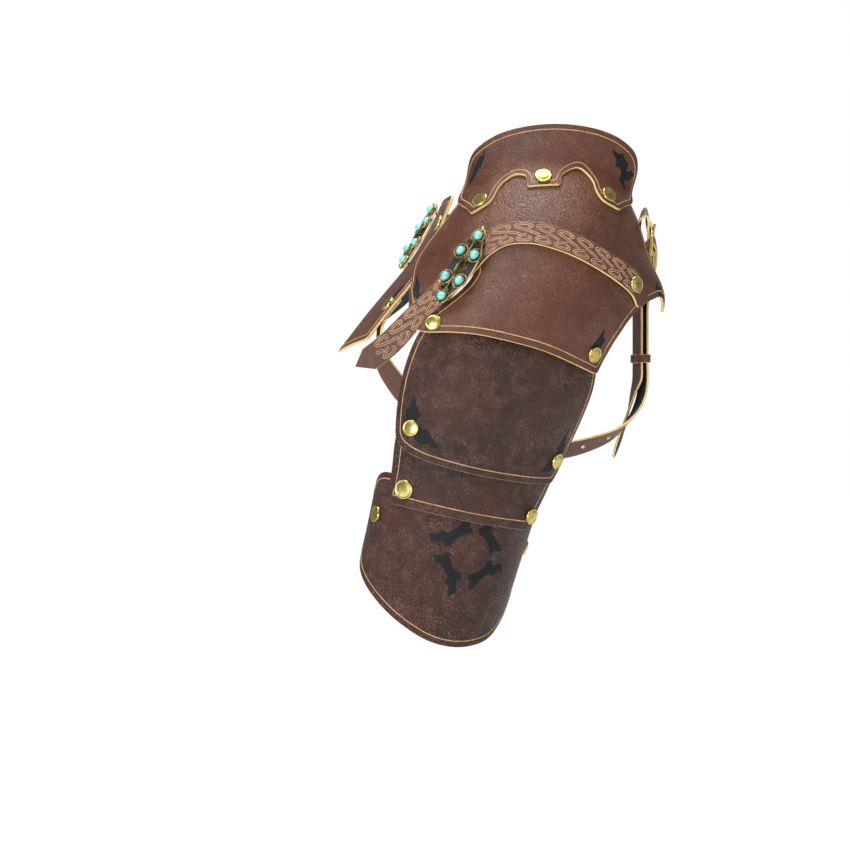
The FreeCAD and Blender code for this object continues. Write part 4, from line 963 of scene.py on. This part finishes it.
def chape_piece(name, place, body, slotted):
    middle = OVER_BAR + STRAP / 2
    across = turned(place, 0, 1, 0)
    path = [(-20, middle), (-14, middle), (-8, middle), (-3, middle)]
    path += [(middle * math.sin(a), middle * math.cos(a)) for a in np.radians([0, 30, 60, 90, 120, 150, 180])]
    path += [(-3, -middle), (-8, -middle), (-14, -middle), (-20, -middle)]
    rows = ribbon_rows([(local(place, x, 0, z), across) for x, z in path])
    length = rows[-1][0]
    loop = rounded([(0, 10, 1.5), (0, -10, 1.5), (length, -10, 1.5), (length, 10, 1.5)], 1.6)
    reach = 5 + middle * math.pi / 2
    slot_loop = rounded([(length / 2 - reach, 2.5, 2), (length / 2 + reach, 2.5, 2),
                         (length / 2 + reach, -2.5, 2), (length / 2 - reach, -2.5, 2)], 1.2)
    made = sheet_piece(name + "_leather", ribbon_point(rows), loop, STRAP, BELT, STRAP / 2, -1.0,
                       [slot_loop] if slotted else [], (), 1.4, 0.4)
    placed(made, body, "strap_leather", name)


chape_piece("back_chape", back_place, "root", True)
chape_piece("arm_chape", arm_place, "lower_cuff", True)
chape_piece("ring_chape", ring_place, "root", False)


def keeper_piece(name, place, reach):
    # A narrow loop round the strap's layers; place's x runs along the strap.
    thick = 1.6
    half = WIDTH / 2 + 0.1 + thick / 2
    high = reach + 0.1 + thick / 2
    r = 1.4
    path = [(0, high)]
    for cx, cz, start in ((half - r, high - r, 90), (half - r, r - high, 0), (r - half, r - high, -90),
                          (r - half, high - r, -180)):
        path += [(cx + r * math.cos(math.radians(a)), cz + r * math.sin(math.radians(a)))
                 for a in (start, start - 30, start - 60, start - 90)]
    path.append((0, high))
    across = turned(place, 1, 0, 0)
    rows = ribbon_rows([(local(place, 3.5, y, z), across) for y, z in path])
    length = rows[-1][0]
    loop = rounded([(0.01, 3.5, 0.3), (0.01, -3.5, 0.3), (length, -3.5, 0.3), (length, 3.5, 0.3)], 1.2)
    made = sheet_piece(name + "_leather", ribbon_point(rows), loop, thick, BELT, thick / 2, 1.0, (), (),
                       1.2, 0.35)
    placed(made, "root", "strap_leather", name)


keeper_piece("underarm_keeper", ring_place @ Matrix.Translation((63, 0, 0)), BEND + STRAP / 2 + 0.05)


# Rivets: cap with a rolled rim, post and back disc.
RIVET_PROFILE = [(0.001, 2.3), (1.8, 2.26), (3.4, 2.12), (4.6, 1.9), (5.2, 1.72), (5.5, 1.72), (5.8, 1.9),
                 (6.15, 1.95), (6.5, 1.78), (6.8, 1.3), (6.95, 0.7), (7.0, 0.25), (6.9, 0.0)]


def rivet_group(name, body, spots, wide=()):
    shape = Shape()
    for number, (place, grip) in enumerate(spots):
        shape.place = place
        spread = WIDE_HEAD / HEAD if number in wide else 1.0
        shape.lathe([(r * spread, z) for r, z in RIVET_PROFILE], 40)
        shape.lathe([(POST, 0.3), (POST, -grip)], 16)
        low = -grip - BACK_HEIGHT
        disc = [(POST, -grip), (BACK_DISC - 0.3, -grip), (BACK_DISC, -grip - 0.3), (BACK_DISC, low + 0.3),
                (BACK_DISC - 0.4, low), (2.6, low), (1.8, low + 0.35), (0.001, low + 0.4)]
        shape.lathe(disc, 28)
    placed(shape.done(name + "_heads", [rivet_brass]), body, "rivet_brass", name)


def riveted(name, body, point, spots, outer=0.0, side=1.0, wide=()):
    # Rivets that stand on a surface; a spot is its place there and the thickness it holds.
    places = []
    for u, v, grip in spots:
        p, n = surface_spot(point, u, v, side)
        places.append((placement(p + outer * n, n), grip))
    rivet_group(name, body, places, wide)


through_strip = LEATHER + STRAP + 0.6
riveted("collar_rivets", "root", collar_point, [(-60.5, 12.5, 5.2), (-2, 30, 5.2), (66, 20.5, 5.2)],
        0.0, -1.0)
riveted("cap_pivot_rivets", "root", cap_point, [(-70, 160, 11.0), (73, 162, 18.2)])
riveted("upper_pivot_rivets", "upper_lame", upper_point, [(-59.4, 105.8, 9.2), (85, 106.6, 9.9)])
riveted("middle_pivot_rivets", "middle_lame", middle_point, [(-56.5, 61, 11.2), (65.7, 60.7, 9.8)], wide=(0,))
riveted("strip_rivets", "root", ribbon_point(strip_rows), [(strip_rows[1][0], 0, through_strip)],
        STRAP / 2, -1.0)
riveted("chest_rivets", "root", chest_point,
        [(u, v, through_strip) for u, v in ((22, 27), (24, 112), (176, 60))], 0.0, -1.0)
riveted("arm_strap_rivets", "lower_cuff", cuff_point,
        [(-84.7, 47.7, through_strip), (104, ARM_ROW, through_strip)])
bridge_spot = station(cap_point, 1.0, -113, 44, -10, 0, -LEATHER - 0.4 - STRAP)[0]
rivet_group("bridge_rivets", "root", [
    (placement(bridge_spot, -surface_spot(cap_point, -113, 44)[1]), STRAP + 0.8),
])
back_spot = station(cap_point, -1.0, 103.5, 61, 8, -10, 5.4)[0]
rivet_group("back_strap_rivets", "root", [
    (placement(back_spot, surface_spot(cap_point, 103.5, 61, -1.0)[1]), STRAP + 1.6),
])
chape_grip = 2 * OVER_CHAPE + 0.1
for name, body, place, x, hand in (
    ("back_chape_rivet", "root", back_place, CHAPE_RIVET, 1),
    ("ring_chape_rivet", "root", ring_place, -12, -1),
    ("arm_chape_rivet", "lower_cuff", arm_place, CHAPE_RIVET, 1),
):
    spot = place @ placement((x, 0, hand * OVER_CHAPE), (0, 0, hand), (1, 0, 0))
    rivet_group(name, body, [(spot, chape_grip)])


# Buckles and the ring: one bent wire each.
def buckle_piece(name, place, reach, body):
    shape = Shape()
    shape.place = place
    r = 2.2
    path = []
    for cx, cy, start in ((reach - r, HALF_BAR - r, 0), (r, HALF_BAR - r, 90), (r, -HALF_BAR + r, 180),
                          (reach - r, -HALF_BAR + r, 270)):
        for a in (0, 18, 36, 54, 72, 90):
            q = math.radians(start + a)
            path.append((cx + r * math.cos(q), cy + r * math.sin(q), 0))
    shape.tube(path, BAR, True, 16)
    placed(shape.done(name + "_wire", [buckle_brass]), body, "buckle_brass", name)


buckle_piece("back_buckle_frame", back_place, REACH, "back_buckle")
buckle_piece("arm_buckle_frame", arm_place, REACH, "arm_buckle")
buckle_piece("underarm_ring", ring_place, RING_REACH, "root")
for node in ("back_buckle_prong", "arm_buckle_prong"):
    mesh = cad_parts[node].data
    mesh.materials.clear()
    mesh.materials.append(buckle_brass)

# Clasps: openwork of scrolls and beaded wires round three stones in each half.
SPOTS = [(29.5, 0), (12.5, 7.6), (12.5, -7.6)]


def arc(cx, cy, r, start, stop, count=14, z=0.9, rise=0.0, spiral=0.0):
    out = []
    for i in range(count + 1):
        t = i / count
        a = math.radians(start + (stop - start) * t)
        rr = r + spiral * t
        out.append((cx + rr * math.cos(a), cy + rr * math.sin(a), z + rise * math.sin(math.pi * t)))
    return out


def beads_along(shape, path, gap, r, lift=0.0):
    path = [Vector(p) for p in path]
    run = 0.0
    for a, b in zip(path, path[1:]):
        length = (b - a).length
        while run <= length:
            p = a.lerp(b, run / max(length, 1e-6))
            shape.bead(p.x, p.y, p.z + lift, r, 6, 4)
            run += gap
        run -= length


def clasp_piece(name, place, hooked):
    shape = Shape()
    shape.place = place
    for x, y in SPOTS:
        shape.lathe([(0.001, 1.7), (3.9, 1.7), (4.3, 1.5), (4.4, 0.9), (4.4, 0.05), (0.001, 0.0)], 28, (x, y))
    shape.kind = 1
    for x, y in SPOTS:
        rim = arc(x, y, 4.15, 0, 360, 26, 1.75)
        beads_along(shape, rim, 1.05, 0.5)
        loop = arc(x, y, 6.2, 0, 360, 32, 0.75)
        shape.tube(loop[:-1], 0.62, True, 8)
        beads_along(shape, loop, 1.35, 0.5, 0.55)
    shape.kind = 0
    for hand in (1, -1):
        start = 90 if hand > 0 else 270
        shape.tube(arc(7.5, hand * 4.0, 3.4, start, start + 310, 20, 0.8, 0.5, -2.0), 0.75)
        shape.tube(arc(21.5, hand * 4.4, 3.3, -90 * hand, -90 * hand + hand * 330, 20, 0.8, 0.5, -1.9), 0.75)
        shape.tube([(17.6, hand * 9.6, 0.8), (20.5, hand * 7.9, 1.0), (24.2, hand * 6.2, 1.0),
                    (26.8, hand * 5.2, 0.8)], 0.7)
        shape.kind = 1
        beads_along(shape, arc(21.5, hand * 4.4, 4.3, -90 * hand, 80 * hand, 14, 0.8), 1.25, 0.42, 0.4)
        shape.kind = 0
    shape.tube([(6, 0, 0.8), (14, 0, 1.15), (22, 0, 1.15), (26, 0, 0.8)], 1.25, False, 10, 0.8)
    shape.kind = 1
    beads_along(shape, [(6.5, 0, 1.7), (24.5, 0, 1.9)], 1.2, 0.48)
    shape.tube([(33.5, 0, 0.8), (35.2, 0, 1.0), (36.6, 0, 0.9)], 0.9)
    shape.bead(36.4, 0, 0.9, 1.9, 16, 10)
    shape.kind = 0
    shape.tube([(29.5, 0, 0.4), (29.5, 0, -8.2)], 0.9, False, 8)
    if hooked:
        shape.tube([(6, 0, 0.7), (6, 0, 1.7), (5.6, 0, 2.5), (4.8, 0, 2.75), (-2, 0, 2.75), (-2.8, 0, 2.6),
                    (-3.2, 0, 2.0), (-3.2, 0, 0.2)], 0.9, False, 10)
    else:
        shape.tube(arc(3.2, 0, 3.0, 0, 360, 24, 0.7)[:-1], 0.81, True, 10)
    placed(shape.done(name + "_filigree", [antique_brass, antique_bright]), "root", "antique_brass", name)


def stones_piece(name, places):
    shape = Shape()
    for place in places:
        shape.place = place
        for x, y in SPOTS:
            profile = [(3.6, 1.5), (3.62, 1.9)]
            profile += [(3.6 * math.cos(a), 1.9 + 3.2 * math.sin(a)) for a in np.radians(range(8, 90, 9))]
            shape.lathe(list(reversed(profile + [(0.001, 5.1)])), 24, (x, y))
    placed(shape.done(name + "_cabochons", [stone]), "root", "turquoise", name)


near_upper, near_lower, far_upper, far_lower = [
    placement(centre, out, [k * hand for k in along])
    for centre, out, along in (
        ((-69.2, -88.8, -64.6), (-0.472, -0.743, 0.478), (0.502, 0.219, 0.837)),
        ((-103.5, 84.9, -28.0), (-0.8, -0.22, 0.56), (0.43, 0.498, 0.752)),
    )
    for hand in (1, -1)
]
for side, upper, lower in (("near", near_upper, near_lower), ("far", far_upper, far_lower)):
    clasp_piece(side + "_clasp_eye", upper, False)
    clasp_piece(side + "_clasp_hook", lower, True)
    stones_piece(side + "_clasp_stones", [upper, lower])


def leaf_piece(name, place, end_drop, window):
    under = -0.35 - STRAP / 2
    path = [(x, under - end_drop * share) for x, share in (
        (-40, 1), (-33, 0.75), (-24, 0.2), (-14, 0), (0, 0), (14, 0), (24, 0.2), (33, 0.75), (40, 1))]
    rows = ribbon_rows([(local(place, x, 0, z), turned(place, 0, 1, 0)) for x, z in path])
    length = rows[-1][0]
    m = length / 2
    loop = rounded([
        (2, 0, 2), (14, -5, 6), (m - 12, -12.5, 12), (m + 12, -12.5, 12), (length - 14, -5, 6),
        (length - 2, 0, 2), (length - 14, 5, 6), (m + 12, 12.5, 12), (m - 12, 12.5, 12), (14, 5, 6),
    ], 1.6)
    opening = rounded([(m - 17, 0, 2), (m - 6, 5, 8), (m + 6, 5, 8), (m + 17, 0, 2), (m + 6, -5, 8),
                       (m - 6, -5, 8)], 1.4)
    point = ribbon_point(rows)
    made = sheet_piece(name + "_leather", point, loop, STRAP, FACE, STRAP / 2, 1.0,
                       [opening] if window else [], (), 2.0, 0.45)
    placed(made, "root", "plate_leather", name)
    if not window:
        placed(ridges(name + "_knotwork", point, knotwork(length - 14, 14, 5.4, 24.0), 0.5, 0.2, tooling,
                      STRAP / 2, 1.0), "root", "plate_leather")


leaf_piece("near_leaf", near_upper, 0.0, True)
leaf_piece("far_leaf", far_upper, 0.7, False)

# Camera, light and surroundings.
PHOTO_FOCUS = 2750
PHOTO_SIZE = 850
scene = bpy.context.scene
camera_data = bpy.data.cameras.new("camera")
camera_data.sensor_width = 36.0
camera_data.lens = camera_data.sensor_width * PHOTO_FOCUS / PHOTO_SIZE
camera_data.clip_end = 30
camera = bpy.data.objects.new("camera", camera_data)
camera.location = (-0.098, -2.3, -0.192)
camera.rotation_euler = (math.radians(90), 0, 0)
scene.collection.objects.link(camera)
scene.camera = camera
scene.view_settings.view_transform = "Standard"


def lamp(name, place, size, power, tint=(1, 1, 1)):
    data = bpy.data.lights.new(name, "AREA")
    data.size = size
    data.color = tint
    data.energy = power
    made = bpy.data.objects.new(name, data)
    made.location = place
    made.rotation_euler = (Vector((-0.06, -0.02, -0.15)) - Vector(place)).to_track_quat("-Z", "Y").to_euler()
    scene.collection.objects.link(made)


lamp("key", (-0.95, -2.1, -0.3), 0.4, 28, (0.88, 0.92, 1.0))
lamp("front", (-1.3, -1.6, 1.4), 0.9, 25, (1.0, 0.95, 0.87))
lamp("fill", (1.9, -1.2, 0.3), 1.6, 7, (1.0, 0.93, 0.85))
lamp("top", (0.0, 0.0, 1.7), 0.8, 38, (1.0, 0.94, 0.86))
lamp("rim", (0.4, 1.8, 1.2), 1.2, 12)

world = bpy.data.worlds.new("surroundings")
scene.world = world
world.use_nodes = True
tree = world.node_tree
path = tree.nodes.new("ShaderNodeLightPath")
seen = tree.nodes.new("ShaderNodeMath")
seen.operation = "MAXIMUM"
tree.links.new(path.outputs["Is Camera Ray"], seen.inputs[0])
tree.links.new(path.outputs["Is Transmission Ray"], seen.inputs[1])
blend = tree.nodes.new("ShaderNodeMapRange")
tree.links.new(seen.outputs[0], blend.inputs["Value"])
blend.inputs["To Min"].default_value = 0.27
blend.inputs["To Max"].default_value = 1.0
background = tree.nodes["Background"]
background.inputs["Color"].default_value = (1, 1, 1, 1)
tree.links.new(blend.outputs[0], background.inputs["Strength"])

white = Nodes("floor_white", Roughness=0.9)
white.finish(white.ramp(white.noise(3.0), (0.3, 0.86), (0.7, 0.9)))
glow = white.new("ShaderNodeEmission", Color=(1, 1, 1, 1), Strength=1.12)
joint = white.new("ShaderNodeMixShader")
floor_path = white.new("ShaderNodeLightPath")
share = white.new("ShaderNodeMath")
share.operation = "MULTIPLY"
white.put(share.inputs[0], floor_path.outputs["Is Camera Ray"])
share.inputs[1].default_value = 0.88
white.put(joint.inputs[0], share.outputs[0])
white.put(joint.inputs[1], white.shader.outputs[0])
white.put(joint.inputs[2], glow.outputs[0])
white.put(white.tree.nodes["Material Output"].inputs[0], joint.outputs[0])
corners = [(-8000, -8000, FLOOR), (8000, -8000, FLOOR), (8000, 12000, FLOOR), (-8000, 12000, FLOOR)]
floor = make_object("floor", corners, [(0, 1, 2, 3)], [0], [white.material])
